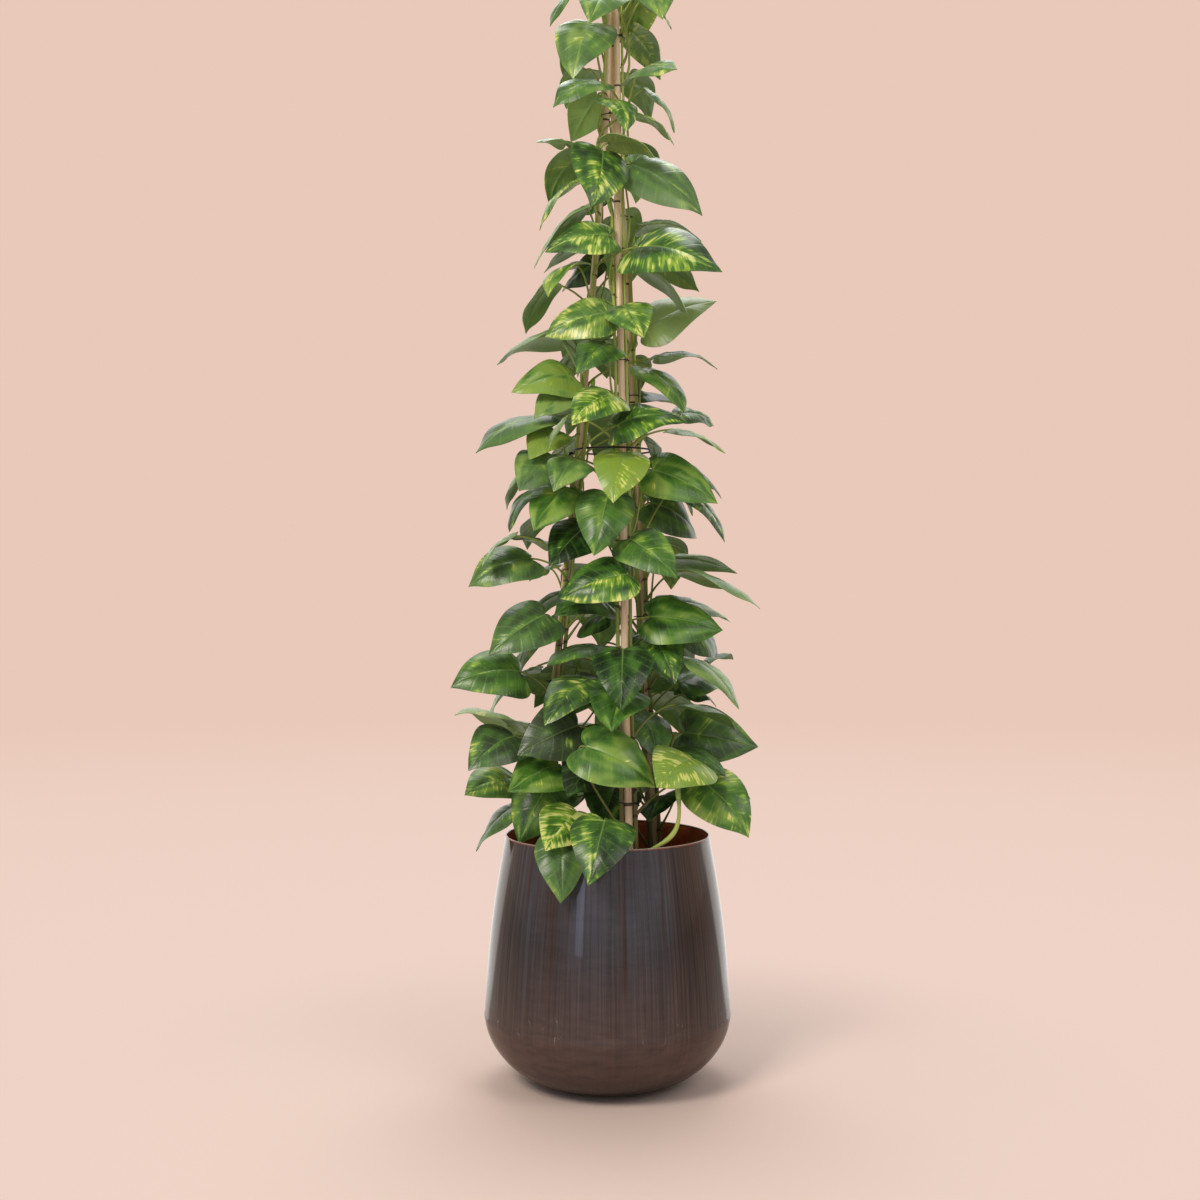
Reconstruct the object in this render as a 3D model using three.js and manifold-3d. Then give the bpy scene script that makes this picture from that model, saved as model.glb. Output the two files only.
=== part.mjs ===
// A golden pothos trained up a pyramid of three bamboo canes, planted in a tall bronze-brown metal pot.
// Millimetres, +Z up. The origin is the middle of the pot's flat foot, and -Y is the front.

import * as THREE from "three";
import { mergeVertices } from "three/addons/utils/BufferGeometryUtils.js";
import Module from "manifold-3d";

const wasm = await Module();
wasm.setup();

// Driving dimensions of the pot and its filling
const potHeight = 405;
const rimRadius = 167;
const bellyRadius = 202;
const bellyHeight = 112;
const footRadius = 80;
const sideBulge = 6;
const potWall = 1.5;
const hemDepth = 10;
const hemThickness = 1.2;
const soilLevel = 345;
const soilUnevenness = 3;
const fitGap = 0.3;
const potSides = 36;

// Driving dimensions of the bamboo pyramid
const caneFootHeight = 195;
const caneTopHeight = 1905;
const caneFootRadius = 6.5;
const caneTopRadius = 4.8;
const caneFirstNode = 75;
const caneNodeStagger = 70;
const caneNodeSpacing = 195;
const caneNodeLip = 4;
const caneNodeSwelling = 1.12;
const caneTopStep = 25;
const caneLean = 0.0878;
const bundleHeight = 1620;
const bundleRadius = 6.2;
const bundleSoftness = 8;
const bundleTwist = 35;
const frontCaneAngle = -73.6;
const caneNames = ["front", "right", "left"];
const hoopHeight = 1036;
const hoopWireRadius = 1.5;
const tieWireRadius = 0.9;

// Each tie holds one cane and its vines, and the last ones the whole bundle.
const ties = [
  { cane: 0, z: 470 },
  { cane: 2, z: 655 },
  { cane: 0, z: 712 },
  { cane: 1, z: 762 },
  { cane: 1, z: 892 },
  { cane: 2, z: 905 },
  { cane: 1, z: 1131 },
  { cane: 2, z: 1125 },
  { cane: 0, z: 1178 },
  { cane: 1, z: 1425 },
  { cane: 0, z: 1497 },
];
const bundleTies = [1586, 1716, 1838];


// Driving dimensions of the vines
const stemFootRadius = 3.5;
const stemTopRadius = 2;
const stemDepth = 40;
const stemFootLength = 15;
const stemGap = 0.9;
const stemSway = 9;
const windingFrom = 1350;
const stemStep = 100;
const windingStep = 42;
const nodeSpacing = 13;
const stalkWidth = 1.8;
const bladeThickness = 1.2;

// Height of each vine's tip, three vines to a cane: two beside it and one behind it
const vineTops = [
  [1790, 1425, 1010],
  [1850, 1360, 960],
  [1730, 1400, 1120],
];

// The leaves of the front as drawn in elevation, seen by an eye level with the middle of the plant:
// where the leaf stalk meets the blade (x, z), where the tip is (x, z), how far the base lies behind
// the pot's axis (y), how many degrees the blade is turned about its midrib towards lying flat, and
// its length where it is unlike the leaves about it. The first ones keep their places, and the rest
// make room.
const eye = { x: -12, back: 2560, z: 790 };
const frontLeaves = [
  [25, 1512, 142, 1430, -15, 25, 140],
  [0, 1265, -104, 1225, -60, 0],
  [-8, 1530, -25, 1436, -50, -25, 105],
  [72, 762, 190, 737, -55, 0],
  [-50, 582, -150, 535, -60, -20],
  [105, 540, 197, 500, -15, 30],
  [25, 640, 5, 572, -90, 0],
  [58, 600, 90, 515, -75, 30],
  [0, 1212, -50, 1163, -60, 0, 85],
  [5, 1545, 78, 1520, -45, 55, 85],
  [25, 708, 22, 605, -118, 0],
  [0, 962, -20, 862, -95, 0],
  [28, 1032, 8, 950, -95, 0],
  [-35, 548, 80, 482, -112, 0],
  [140, 528, 78, 482, -105, 0],
  [-5, 425, -28, 318, -172, 0],
  [-50, 440, -105, 376, -150, 0],
  [-68, 388, -65, 282, -190, 0, 105],
  [-92, 495, -147, 388, -95, 0],
  [75, 1005, 182, 950, -50, 0],
  [38, 890, 115, 825, -85, 0],
  [30, 832, -78, 790, -88, 0],
  [72, 735, 113, 650, -95, 0],
  [-105, 765, -195, 697, -40, 0],
  [-148, 672, -260, 648, -30, 0],
  [-155, 565, -230, 508, -55, 0],
  [-90, 525, -172, 478, -70, 0],
  [-5, 520, -58, 457, -80, 0],
  [158, 490, 236, 400, -75, 0],
  [112, 575, 232, 548, -25, 0],
  [-25, 652, -92, 575, -80, 20],
  [148, 690, 215, 610, -35, 45],
  [0, 710, -102, 682, -70, 40],
  [-165, 585, -252, 600, -20, 50],
  [-140, 487, -228, 462, -35, 10],
  [-150, 440, -208, 368, -35, 45, 95],
  [15, 1078, 132, 1085, -75, 10],
  [15, 1122, -52, 1072, -80, 0],
  [-68, 975, -125, 905, -65, 0],
  [-35, 912, -95, 845, -35, 0],
  [128, 838, 252, 775, -10, 60, 150],
  [-130, 858, -228, 810, -15, 10],
  [-165, 893, -205, 845, -20, 55, 75],
  [-98, 882, -170, 893, -10, 50, 80],
  [-95, 842, -127, 822, 40, 20, 70],
  [75, 950, 147, 890, 20, 0],
  [-15, 792, -85, 762, -55, 0],
  [0, 770, -45, 735, 20, 0],
  [-95, 652, -152, 655, -5, 55, 75],
  [-10, 637, -55, 605, 0, 0],
  [128, 742, 182, 703, 10, 0],
  [120, 655, 182, 650, 30, 20],
  [130, 636, 178, 615, 15, 40, 70],
  [165, 690, 209, 692, 50, 55, 60],
  [12, 482, -10, 402, -60, 0],
  [98, 478, 62, 432, -20, 45],
  [42, 1130, 110, 1113, 15, 30],
  [122, 1098, 176, 1076, 20, 20, 70],
  [-95, 1092, -215, 1032, -5, 35, 145],
  [-88, 1070, -128, 1021, -32, 0, 85],
  [-82, 1094, -105, 1045, -65, 60, 65],
  [-92, 1028, -147, 970, -20, 0],
  [-62, 1028, -98, 975, -50, 0, 90],
  [60, 1062, 75, 1020, 30, 20, 80],
  [-115, 975, -160, 903, -10, 45, 95],
  [55, 1178, 120, 1105, -20, 35],
  [-62, 1160, -157, 1130, -45, 0],
  [-62, 1128, -120, 1088, -40, 10, 85],
  [-68, 1215, -50, 1158, -30, 60, 65],
  [-68, 1226, -182, 1178, -25, 60, 130],
  [15, 1282, 48, 1228, -70, 0, 90],
  [62, 1238, 180, 1283, 45, 10],
  [48, 1342, 133, 1260, -10, 60, 125],
  [50, 1372, 187, 1328, -60, 0, 150],
  [10, 1385, -94, 1356, -55, 0],
  [-15, 1348, -75, 1300, 15, 0, 90],
  [-32, 1428, -112, 1330, -15, 62, 130],
  [-5, 1452, -45, 1420, 25, 0, 75],
  [50, 1590, 110, 1540, -20, 50, 80],
  [20, 1608, 42, 1555, -45, 20, 70],
  [-70, 1543, -118, 1545, -10, 35, 60],
  [-15, 1645, -88, 1602, -25, 15, 90],
  [50, 1658, 112, 1664, -45, 0, 105],
  [-28, 1740, -60, 1650, -30, 0, 105],
  [50, 1790, 42, 1702, 30, 0, 105],
  [45, 1782, 90, 1735, 10, 60, 75],
  [-10, 1800, -38, 1748, -25, 0, 80],
  [62, 1812, 80, 1754, -15, 0, 80],
  [-20, 1868, -72, 1830, -20, 10, 85],
  [28, 1885, 68, 1838, -25, 0, 85],
];

// The sides and the back are leafed by rule: tries at drawn places, of which those that clear stay
const backLeafCount = 68;
const backLeafTries = 1500;
const backLeafLow = 440;
const backLeafHigh = 1870;
const backArc = { from: -18, to: 198 };

// Half the outline of a blade one unit long, from the notch at the leaf stalk to the tip
const halfOutline = [
  [0, 0],
  [0.1, -0.1],
  [0.24, -0.13],
  [0.37, -0.04],
  [0.44, 0.12],
  [0.43, 0.3],
  [0.35, 0.52],
  [0.22, 0.74],
  [0.09, 0.9],
  [0, 1],
];

// Stations where the solid blade and stalk have their corners
const outlineStations = [0.22, 0.5, 0.78];
const midribStations = [0.66, 0.86];
const stalkStations = [1, 0.5, 0];
const bladeArch = 0.2;
const marginDrop = 0.15;

// Half the room kept between blades and about a stalk, how finely it is tested, and the room about
// the wires
const bladeRoom = 3.6;
const stalkRoom = 2.4;
const frameMargin = 1.25;
const sampleRows = 18;
const sampleColumns = 14;
const sampleStep = 4;
const cellSize = 12;

// How far below a leaf its stalk leaves the stem, in the order tried
const nodeDrops = [50, 70, 35, 90, 20, 110, 135];

// Changes tried in turn until a front leaf clears its neighbours: first its depth, then its place to
// the right and upwards and its turn about the midrib
const depthShifts = [0, 9, -9, 18, -18, 28, -28, 40, 54, 70];
const otherShifts = [
  [0, 0, 0],
  [9, -7, 0],
  [-9, 7, 0],
  [0, 0, 25],
  [0, 0, -25],
  [-12, -12, 12],
  [12, 12, -12],
  [16, -4, 20],
  [-16, 4, -20],
  [3, 18, 15],
  [-3, -18, -15],
];

// Colours and finishes
const finish = (color, roughness, metalness = 0) =>
  new THREE.MeshStandardMaterial({ color, roughness, metalness });
const potFinish = finish(0x4a3d3a, 0.32, 0.8);
const soilFinish = finish(0x2e2118, 0.95);
const caneFinish = finish(0xc9a878, 0.6);
const wireFinish = finish(0x1d1b1a, 0.5, 0.3);
const leafFinish = finish(0x3f7a2a, 0.38);

const radians = THREE.MathUtils.degToRad;
const clamp01 = (t) => Math.min(1, Math.max(0, t));
const smooth = (t) => clamp01(t) ** 2 * (3 - 2 * clamp01(t));
const lerp = (a, b, t) => a + (b - a) * t;
const vec = (x, y, z) => new THREE.Vector3(x, y, z);
const up = vec(0, 0, 1);

// Repeatable draws between 0 and 1
let drawState = 20110;
function draw() {
  drawState = (drawState * 16807) % 2147483647;
  return drawState / 2147483647;
}

// Solids

function solidOf(geometry) {
  const bare = geometry.clone();
  for (const name of Object.keys(bare.attributes)) {
    if (name !== "position") bare.deleteAttribute(name);
  }
  const merged = mergeVertices(bare, 1e-4);
  return new wasm.Manifold(
    new wasm.Mesh({
      numProp: 3,
      vertProperties: new Float32Array(merged.attributes.position.array),
      triVerts: new Uint32Array(merged.index.array),
    }),
  );
}

function geometryOf(solid) {
  const mesh = solid.getMesh();
  return new THREE.BufferGeometry()
    .setAttribute("position", new THREE.BufferAttribute(mesh.vertProperties, 3))
    .setIndex(new THREE.BufferAttribute(mesh.triVerts, 1));
}

function meshOf(positions, index) {
  const position = new THREE.BufferAttribute(new Float32Array(positions), 3);
  return new THREE.BufferGeometry().setAttribute("position", position).setIndex(index);
}

// A closed tube of a few sides through the points, each with its own radius
function sweep(points, radii, sides, firstSide = vec(1, 0, 0)) {
  const positions = [];
  const index = [];
  points.forEach((point, i) => {
    const before = points[Math.max(0, i - 1)];
    const after = points[Math.min(points.length - 1, i + 1)];
    const along = after.clone().sub(before).normalize();
    const side = firstSide.clone().addScaledVector(along, -firstSide.dot(along)).normalize();
    const other = along.clone().cross(side);
    for (let k = 0; k < sides; k++) {
      const turn = (2 * Math.PI * k) / sides;
      const corner = point
        .clone()
        .addScaledVector(side, radii[i] * Math.cos(turn))
        .addScaledVector(other, radii[i] * Math.sin(turn));
      positions.push(...corner.toArray());
    }
  });
  const ring = (i, k) => i * sides + (k % sides);
  for (let i = 0; i + 1 < points.length; i++) {
    for (let k = 0; k < sides; k++) {
      index.push(ring(i, k), ring(i, k + 1), ring(i + 1, k + 1));
      index.push(ring(i, k), ring(i + 1, k + 1), ring(i + 1, k));
    }
  }
  for (let k = 1; k + 1 < sides; k++) {
    index.push(ring(0, 0), ring(0, k + 1), ring(0, k));
    index.push(ring(points.length - 1, 0), ring(points.length - 1, k), ring(points.length - 1, k + 1));
  }
  return meshOf(positions, index);
}

// Pot and soil

// The outside of the pot from its foot to its rim: a round bottom, then a side that leans in
function potOutline() {
  const bottomSteps = 5;
  const sideSteps = 4;
  const outline = [];
  for (let i = 0; i <= bottomSteps; i++) {
    const turn = ((Math.PI / 2) * i) / bottomSteps;
    const radius = footRadius + (bellyRadius - footRadius) * Math.sin(turn) ** 1.1;
    outline.push([radius, bellyHeight * (1 - Math.max(0, Math.cos(turn)) ** 1.1)]);
  }
  for (let i = 1; i <= sideSteps; i++) {
    const t = i / sideSteps;
    const radius = lerp(bellyRadius, rimRadius, t) + sideBulge * Math.sin(Math.PI * t);
    outline.push([radius, lerp(bellyHeight, potHeight, t)]);
  }
  return outline;
}

// The same outline moved inwards by a distance, as a wall's inner face
function insetOutline(outline, distance) {
  return outline.map(([radius, height], i) => {
    const [r0, z0] = outline[Math.max(0, i - 1)];
    const [r1, z1] = outline[Math.min(outline.length - 1, i + 1)];
    const length = Math.hypot(r1 - r0, z1 - z0);
    const across = (z1 - z0) / length;
    const upward = (r1 - r0) / length;
    if (i === 0) return [radius, height + distance];
    return [radius - across * distance, height + upward * distance];
  });
}

function radiusAt(outline, height) {
  for (let i = 1; i < outline.length; i++) {
    const [r0, z0] = outline[i - 1];
    const [r1, z1] = outline[i];
    if (height <= z1) return lerp(r0, r1, (height - z0) / (z1 - z0 || 1));
  }
  return outline[outline.length - 1][0];
}

const outerOutline = potOutline();
const innerOutline = insetOutline(outerOutline, potWall);

// A solid of revolution whose profile runs up its outside and comes back down its inside
function turned(profile) {
  const points = profile.map(([radius, height]) => new THREE.Vector2(Math.max(0, radius), height));
  return new THREE.LatheGeometry(points, potSides).rotateX(Math.PI / 2);
}

function makePot() {
  const hemRadius = radiusAt(innerOutline, potHeight) - hemThickness;
  const hemFoot = potHeight - hemDepth;
  const inside = innerOutline.filter(([, height]) => height < hemFoot - 1);
  const profile = [
    [0, 0],
    ...outerOutline,
    [hemRadius, potHeight],
    [radiusAt(innerOutline, hemFoot) - hemThickness, hemFoot],
    [radiusAt(innerOutline, hemFoot), hemFoot - 1],
    ...inside.reverse(),
    [0, potWall],
  ];
  return turned(profile);
}

// The soil fills the pot to below the rim, and the canes and stems stand in plain holes in it.
function makeSoil(standing) {
  const fill = insetOutline(outerOutline, potWall + fitGap).filter(([, height]) => height < soilLevel - 12);
  const edge = radiusAt(innerOutline, soilLevel) - fitGap;
  const rings = [1, 0.78, 0.52, 0.25];
  const profile = [[0, potWall + fitGap], ...fill];
  for (const share of rings) profile.push([edge * share, soilLevel]);
  profile.push([0, soilLevel]);
  const geometry = turned(profile);
  const position = geometry.attributes.position;
  for (let i = 0; i < position.count; i++) {
    const [x, y, z] = [position.getX(i), position.getY(i), position.getZ(i)];
    if (z < soilLevel - 1) continue;
    const lump = Math.sin(x / 21 + 1) * Math.cos(y / 17) + 0.5 * Math.sin((x + y) / 11);
    position.setZ(i, z + soilUnevenness * lump * (1 - Math.hypot(x, y) / (edge * 1.02)));
  }
  let solid = solidOf(geometry);
  for (const hole of standing) solid = solid.subtract(solidOf(hole));
  return geometryOf(solid);
}

// Canes

const pyramidShift = (z) => 2 + 7 * smooth((z - 600) / 600);
const pyramidMiddle = (z) => vec(pyramidShift(z), 0, z);

// Distance of a cane from the pyramid's middle: a straight lean, then bound together at the top
function pyramidRadius(z) {
  const open = caneLean * (bundleHeight - z);
  return bundleRadius + 0.5 * (open + Math.hypot(open, bundleSoftness));
}

// The canes cross a little where they meet, so the bundle turns about its middle.
const caneTurn = (z) => frontCaneAngle + bundleTwist * smooth((z - bundleHeight + 200) / 220);
const caneAngle = (cane, z) => radians(caneTurn(z) + 120 * cane);
const caneShare = (z) => (z - caneFootHeight) / (caneTopHeight - caneFootHeight);
const caneRadius = (z) => lerp(caneFootRadius, caneTopRadius, caneShare(z));

function caneCentre(cane, z) {
  const angle = caneAngle(cane, z);
  const radius = pyramidRadius(z);
  return vec(pyramidShift(z) + radius * Math.cos(angle), radius * Math.sin(angle), z);
}

function makeCane(cane, clearance = 0) {
  const heights = [caneFootHeight - clearance * 10];
  const swellings = [1];
  const firstNode = caneFootHeight + caneFirstNode + caneNodeStagger * cane;
  for (let z = firstNode; z < caneTopHeight - caneTopStep * cane - 20; z += caneNodeSpacing) {
    heights.push(z - caneNodeLip, z, z + caneNodeLip);
    swellings.push(1, caneNodeSwelling, 1);
  }
  heights.push(caneTopHeight - caneTopStep * cane);
  swellings.push(1);
  const points = heights.map((z) => caneCentre(cane, z));
  const radii = heights.map((z, i) => caneRadius(z) * swellings[i] + clearance);
  const outward = vec(Math.cos(caneAngle(cane, 0)), Math.sin(caneAngle(cane, 0)), 0);
  return sweep(points, radii, 6, outward);
}

// Stems

const stemRadius = (z) => lerp(stemFootRadius, stemTopRadius, clamp01((z - soilLevel) / 1450));

// Side of the cane on which a vine climbs, as an angle from the cane's outer face
function stemSide(vine, z) {
  const climb = smooth((z - windingFrom) / 200);
  const free = smooth((z - soilLevel - stemFootLength) / 90);
  const sway = stemSway * free * Math.sin(z / 83 + 2.1 * vine.cane + 1.3 * vine.place);
  if (vine.place === 0) return 96 - 62 * climb + sway;
  if (vine.place === 1) return -96 + sway;
  return 180 + sway;
}

const stemDistance = (z) => caneRadius(z) * caneNodeSwelling + stemGap + stemRadius(z);

function stemCentre(vine, z) {
  const angle = caneAngle(vine.cane, z) + radians(stemSide(vine, z));
  const distance = stemDistance(z);
  return caneCentre(vine.cane, z).add(vec(distance * Math.cos(angle), distance * Math.sin(angle), 0));
}

const vines = [];
vineTops.forEach((tops, cane) =>
  tops.forEach((top, place) => vines.push({ cane, place, top, number: vines.length, nodes: [], parts: [] })),
);

// A stem is straight in the soil, and takes shorter steps where it winds round the bundled canes.
function makeStem(vine) {
  const heights = [soilLevel - stemDepth, soilLevel + stemFootLength];
  for (let z = soilLevel + stemStep; z < vine.top - 20; z += z < windingFrom ? stemStep : windingStep) {
    heights.push(z);
  }
  heights.push(vine.top);
  const radii = heights.map(stemRadius);
  radii[radii.length - 1] *= 0.6;
  return sweep(heights.map((z) => stemCentre(vine, z)), radii, 5);
}

function makeStemHole(vine) {
  const foot = stemCentre(vine, soilLevel - stemDepth);
  const top = stemCentre(vine, soilLevel + stemFootLength);
  foot.addScaledVector(top.clone().sub(foot).normalize(), -3);
  return sweep([foot, top], [1, 1].map(() => stemFootRadius + 1.3 * fitGap), 5);
}

// The hoop round the canes, and ties round a cane with its vines

const hoopRadius = (z) => pyramidRadius(z) + caneRadius(z) + fitGap + hoopWireRadius;

function makeHoop(z) {
  return new THREE.TorusGeometry(hoopRadius(z), hoopWireRadius, 3, 27)
    .rotateZ(radians(frontCaneAngle))
    .translate(pyramidShift(z), 0, z);
}

const tieRadius = (z) => stemDistance(z) + stemRadius(z) + fitGap + tieWireRadius;

// A tie round the bundle clears the stem that stands out furthest from it.
function bundleTieRadius(z) {
  const reaches = vines.filter((vine) => vine.top > z).map((vine) => stemCentre(vine, z));
  const furthest = Math.max(...reaches.map((at) => Math.hypot(at.x - pyramidShift(z), at.y)));
  return furthest + stemRadius(z) + tieWireRadius / 2 + 1.5 * fitGap;
}

// Room taken by what is already in place, as balls filed by the cell that they lie in
const cells = new Map();
const cellOf = (value) => Math.floor(value / cellSize);
const cellName = (i, j, k) => i * 4000000 + j * 2000 + k;
const steps = [-1, 0, 1];
const neighbours = steps.flatMap((i) => steps.flatMap((j) => steps.map((k) => [i, j, k])));

function occupy(points, radius, owner) {
  for (const point of points) {
    const name = cellName(cellOf(point.x), cellOf(point.y), cellOf(point.z));
    if (!cells.has(name)) cells.set(name, []);
    cells.get(name).push({ point, radius, owner });
  }
}

function isClear(points, radius, owner) {
  for (const point of points) {
    if (!isClearOfPot(point, radius)) return false;
    const [i, j, k] = [cellOf(point.x), cellOf(point.y), cellOf(point.z)];
    for (const [right, back, higher] of neighbours) {
      for (const ball of cells.get(cellName(i + right, j + back, k + higher)) || []) {
        if (ball.owner !== owner && ball.point.distanceTo(point) < ball.radius + radius) return false;
      }
    }
  }
  return true;
}

function isClearOfPot(point, radius) {
  if (point.z > potHeight + radius) return true;
  const reach = Math.hypot(point.x, point.y);
  const height = Math.min(point.z, potHeight);
  if (reach > radiusAt(outerOutline, height) + radius) return point.z > radius;
  const within = reach < radiusAt(innerOutline, height) - hemThickness - radius;
  return within && point.z > soilLevel + soilUnevenness + radius;
}

function occupyFrame() {
  for (let z = soilLevel; z < caneTopHeight; z += 5) {
    caneNames.forEach((name, cane) => occupy([caneCentre(cane, z)], caneRadius(z) + 1, name));
    for (const vine of vines) {
      if (z < vine.top) occupy([stemCentre(vine, z)], stemRadius(z) + 0.8, vine.number);
    }
  }
  const around = (radius, centre, room) => {
    const count = Math.ceil((2 * Math.PI * radius) / sampleStep);
    for (let i = 0; i < count; i++) {
      const turn = (2 * Math.PI * i) / count;
      occupy([vec(radius * Math.cos(turn), radius * Math.sin(turn), 0).add(centre)], room, "wire");
    }
  };
  const tieRoom = tieWireRadius + frameMargin;
  around(hoopRadius(hoopHeight), pyramidMiddle(hoopHeight), hoopWireRadius + 2 * frameMargin);
  for (const tie of ties) around(tieRadius(tie.z), caneCentre(tie.cane, tie.z), tieRoom);
  for (const z of bundleTies) around(bundleTieRadius(z), pyramidMiddle(z), tieRoom);
}

// Leaves

function outlineAt(v) {
  const place = v * (halfOutline.length - 1);
  const i = Math.min(Math.floor(place), halfOutline.length - 2);
  const t = place - i;
  const at = (n) => halfOutline[Math.min(Math.max(n, 0), halfOutline.length - 1)];
  return [0, 1].map((axis) => {
    const [a, b, c, d] = [at(i - 1)[axis], at(i)[axis], at(i + 1)[axis], at(i + 2)[axis]];
    return b + 0.5 * t * (c - a + t * (2 * a - 5 * b + 4 * c - d + t * (3 * (b - c) + d - a)));
  });
}

const midribAt = (v) => clamp01((v - 0.45) / 0.55) ** 1.2;

// A leaf's own directions: along its midrib, up from its face, and across it
function makeLeaf(base, tip, facing, roll, width, bend, wave) {
  const along = tip.clone().sub(base);
  const length = along.length();
  along.normalize();
  const face = facing.clone().addScaledVector(along, -facing.dot(along)).normalize();
  face.applyAxisAngle(along, radians(roll));
  const across = along.clone().cross(face);
  return { base, along, face, across, length, width, bend, wave };
}

// The point of a blade at u, from -1 at the left margin to 1 at the right, and v, from its base
// to its tip by the veins, which leave the midrib and run forward to the margin
function bladePoint(leaf, u, v) {
  const [side, ahead] = outlineAt(v);
  const reach = Math.abs(u);
  const alongShare = lerp(midribAt(v), ahead, reach);
  const acrossShare = side * u * leaf.width;
  const arch = side * reach * (bladeArch * (1 - reach) - marginDrop * reach);
  const ripple = 0.02 * reach * reach * Math.sin(9 * v + leaf.wave + 2 * Math.sign(u));
  const lift = 4 * leaf.bend * alongShare * (1 - alongShare) + arch + ripple;
  return leaf.base
    .clone()
    .addScaledVector(leaf.along, alongShare * leaf.length)
    .addScaledVector(leaf.across, acrossShare * leaf.length)
    .addScaledVector(leaf.face, lift * leaf.length);
}

// The blade's upward direction at a share of its length
function bladeUp(leaf, share) {
  const slope = 4 * leaf.bend * (1 - 2 * share);
  return leaf.face.clone().addScaledVector(leaf.along, -slope).normalize();
}

function bladeSamples(leaf) {
  const points = [];
  for (let row = 1; row <= sampleRows; row++) {
    for (let column = 0; column <= sampleColumns; column++) {
      points.push(bladePoint(leaf, (2 * column) / sampleColumns - 1, row / sampleRows));
    }
  }
  return points;
}

// The leaf stalk: out of the stem, up, and over into the notch of the blade
function stalkPath(vine, node, leaf) {
  const start = stemCentre(vine, node);
  const end = leaf.base;
  const span = start.distanceTo(end);
  const away = start.clone().sub(caneCentre(vine.cane, node)).setZ(0).normalize();
  const leave = start.clone().addScaledVector(away, 0.22 * span).addScaledVector(up, 0.3 * span);
  const arrive = end.clone().addScaledVector(leaf.along, -0.26 * span);
  arrive.addScaledVector(leaf.face, -0.1 * span);
  return new THREE.CubicBezierCurve3(start, leave, arrive, end);
}

// Points along the curve of a stalk and along the straight stretches that stand in for it
function stalkSamples(path) {
  const points = [];
  const count = Math.ceil(path.getLength() / sampleStep) + 1;
  for (let i = 0; i <= count; i++) points.push(path.getPoint(0.03 + (0.97 * i) / count));
  for (let k = 1; k < stalkStations.length; k++) {
    const [near, far] = [path.getPoint(stalkStations[k]), path.getPoint(stalkStations[k - 1])];
    const steps = Math.ceil(near.distanceTo(far) / sampleStep);
    for (let i = 1; i <= steps; i++) points.push(near.clone().lerp(far, i / steps));
  }
  return points;
}

// A stalk may touch its own blade only near the notch.
function crossesOwnBlade(path, blade) {
  for (let t = 0.03; t < 0.8; t += 0.05) {
    const point = path.getPoint(t);
    if (blade.some((sample) => sample.distanceTo(point) < stalkRoom + bladeRoom)) return true;
  }
  return false;
}

// A leaf as one thin closed solid: a blade split into triangles alike on both faces, and a
// three-sided stalk that ends in the blade's notch
function makeLeafBody(leaf, path) {
  const corners = [];
  const keep = (point) => corners.push(point) - 1;
  const place = (u, v, sign, aside) => {
    const share = lerp(midribAt(v), outlineAt(v)[1], Math.abs(u));
    const point = bladePoint(leaf, u, v).addScaledVector(bladeUp(leaf, share), (sign * bladeThickness) / 2);
    return keep(point.addScaledVector(leaf.across, aside * stalkWidth));
  };
  const faceOf = (sign, split) => ({
    loop: [
      place(0, 0, sign, split),
      ...outlineStations.map((v) => place(1, v, sign, 0)),
      place(0, 1, sign, 0),
      ...outlineStations.map((v) => place(-1, v, sign, 0)).reverse(),
    ],
    near: place(0, midribStations[0], sign, 0),
    far: place(0, midribStations[1], sign, 0),
  });
  const top = faceOf(1, 0);
  const bottom = faceOf(-1, 1);
  top.loop.push(top.loop[0]);
  bottom.loop.push(place(0, 0, -1, -1));

  const index = [];
  const edges = top.loop.length - 1;
  for (const [face, turned] of [[top, false], [bottom, true]]) {
    const { loop, near, far } = face;
    const triangles = [[near, loop[2], far], [near, far, loop[edges - 2]]];
    for (let i = 0; i < edges; i++) {
      const nearBase = i < 2 || i >= edges - 2;
      triangles.push([nearBase ? near : far, loop[i], loop[i + 1]]);
    }
    if (turned) triangles.push([near, loop[edges], loop[0]]);
    for (const [p, q, r] of triangles) index.push(...(turned ? [p, r, q] : [p, q, r]));
  }
  for (let i = 0; i < edges; i++) {
    index.push(top.loop[i], bottom.loop[i], bottom.loop[i + 1]);
    if (i < edges - 1) index.push(top.loop[i], bottom.loop[i + 1], top.loop[i + 1]);
    else index.push(top.loop[i], bottom.loop[i + 1], top.loop[0]);
  }

  let ring = [bottom.loop[0], bottom.loop[edges], top.loop[0]];
  let side = leaf.across.clone();
  for (let k = 1; k < stalkStations.length; k++) {
    const centre = path.getPoint(stalkStations[k]);
    const behind = path.getPoint(stalkStations[Math.min(k + 1, stalkStations.length - 1)]);
    const tangent = path.getPoint(stalkStations[k - 1]).sub(behind).normalize();
    side = side.addScaledVector(tangent, -side.dot(tangent)).normalize();
    const other = tangent.clone().cross(side);
    const before = [30, 150, 270].map(radians).map((turn) =>
      keep(
        centre
          .clone()
          .addScaledVector(side, stalkWidth * Math.cos(turn))
          .addScaledVector(other, stalkWidth * Math.sin(turn)),
      ),
    );
    for (let corner = 0; corner < 3; corner++) {
      const next = (corner + 1) % 3;
      index.push(before[corner], before[next], ring[next], before[corner], ring[next], ring[corner]);
    }
    ring = before;
  }
  index.push(ring[0], ring[2], ring[1]);
  return meshOf(corners.flatMap((corner) => corner.toArray()), index);
}

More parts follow.
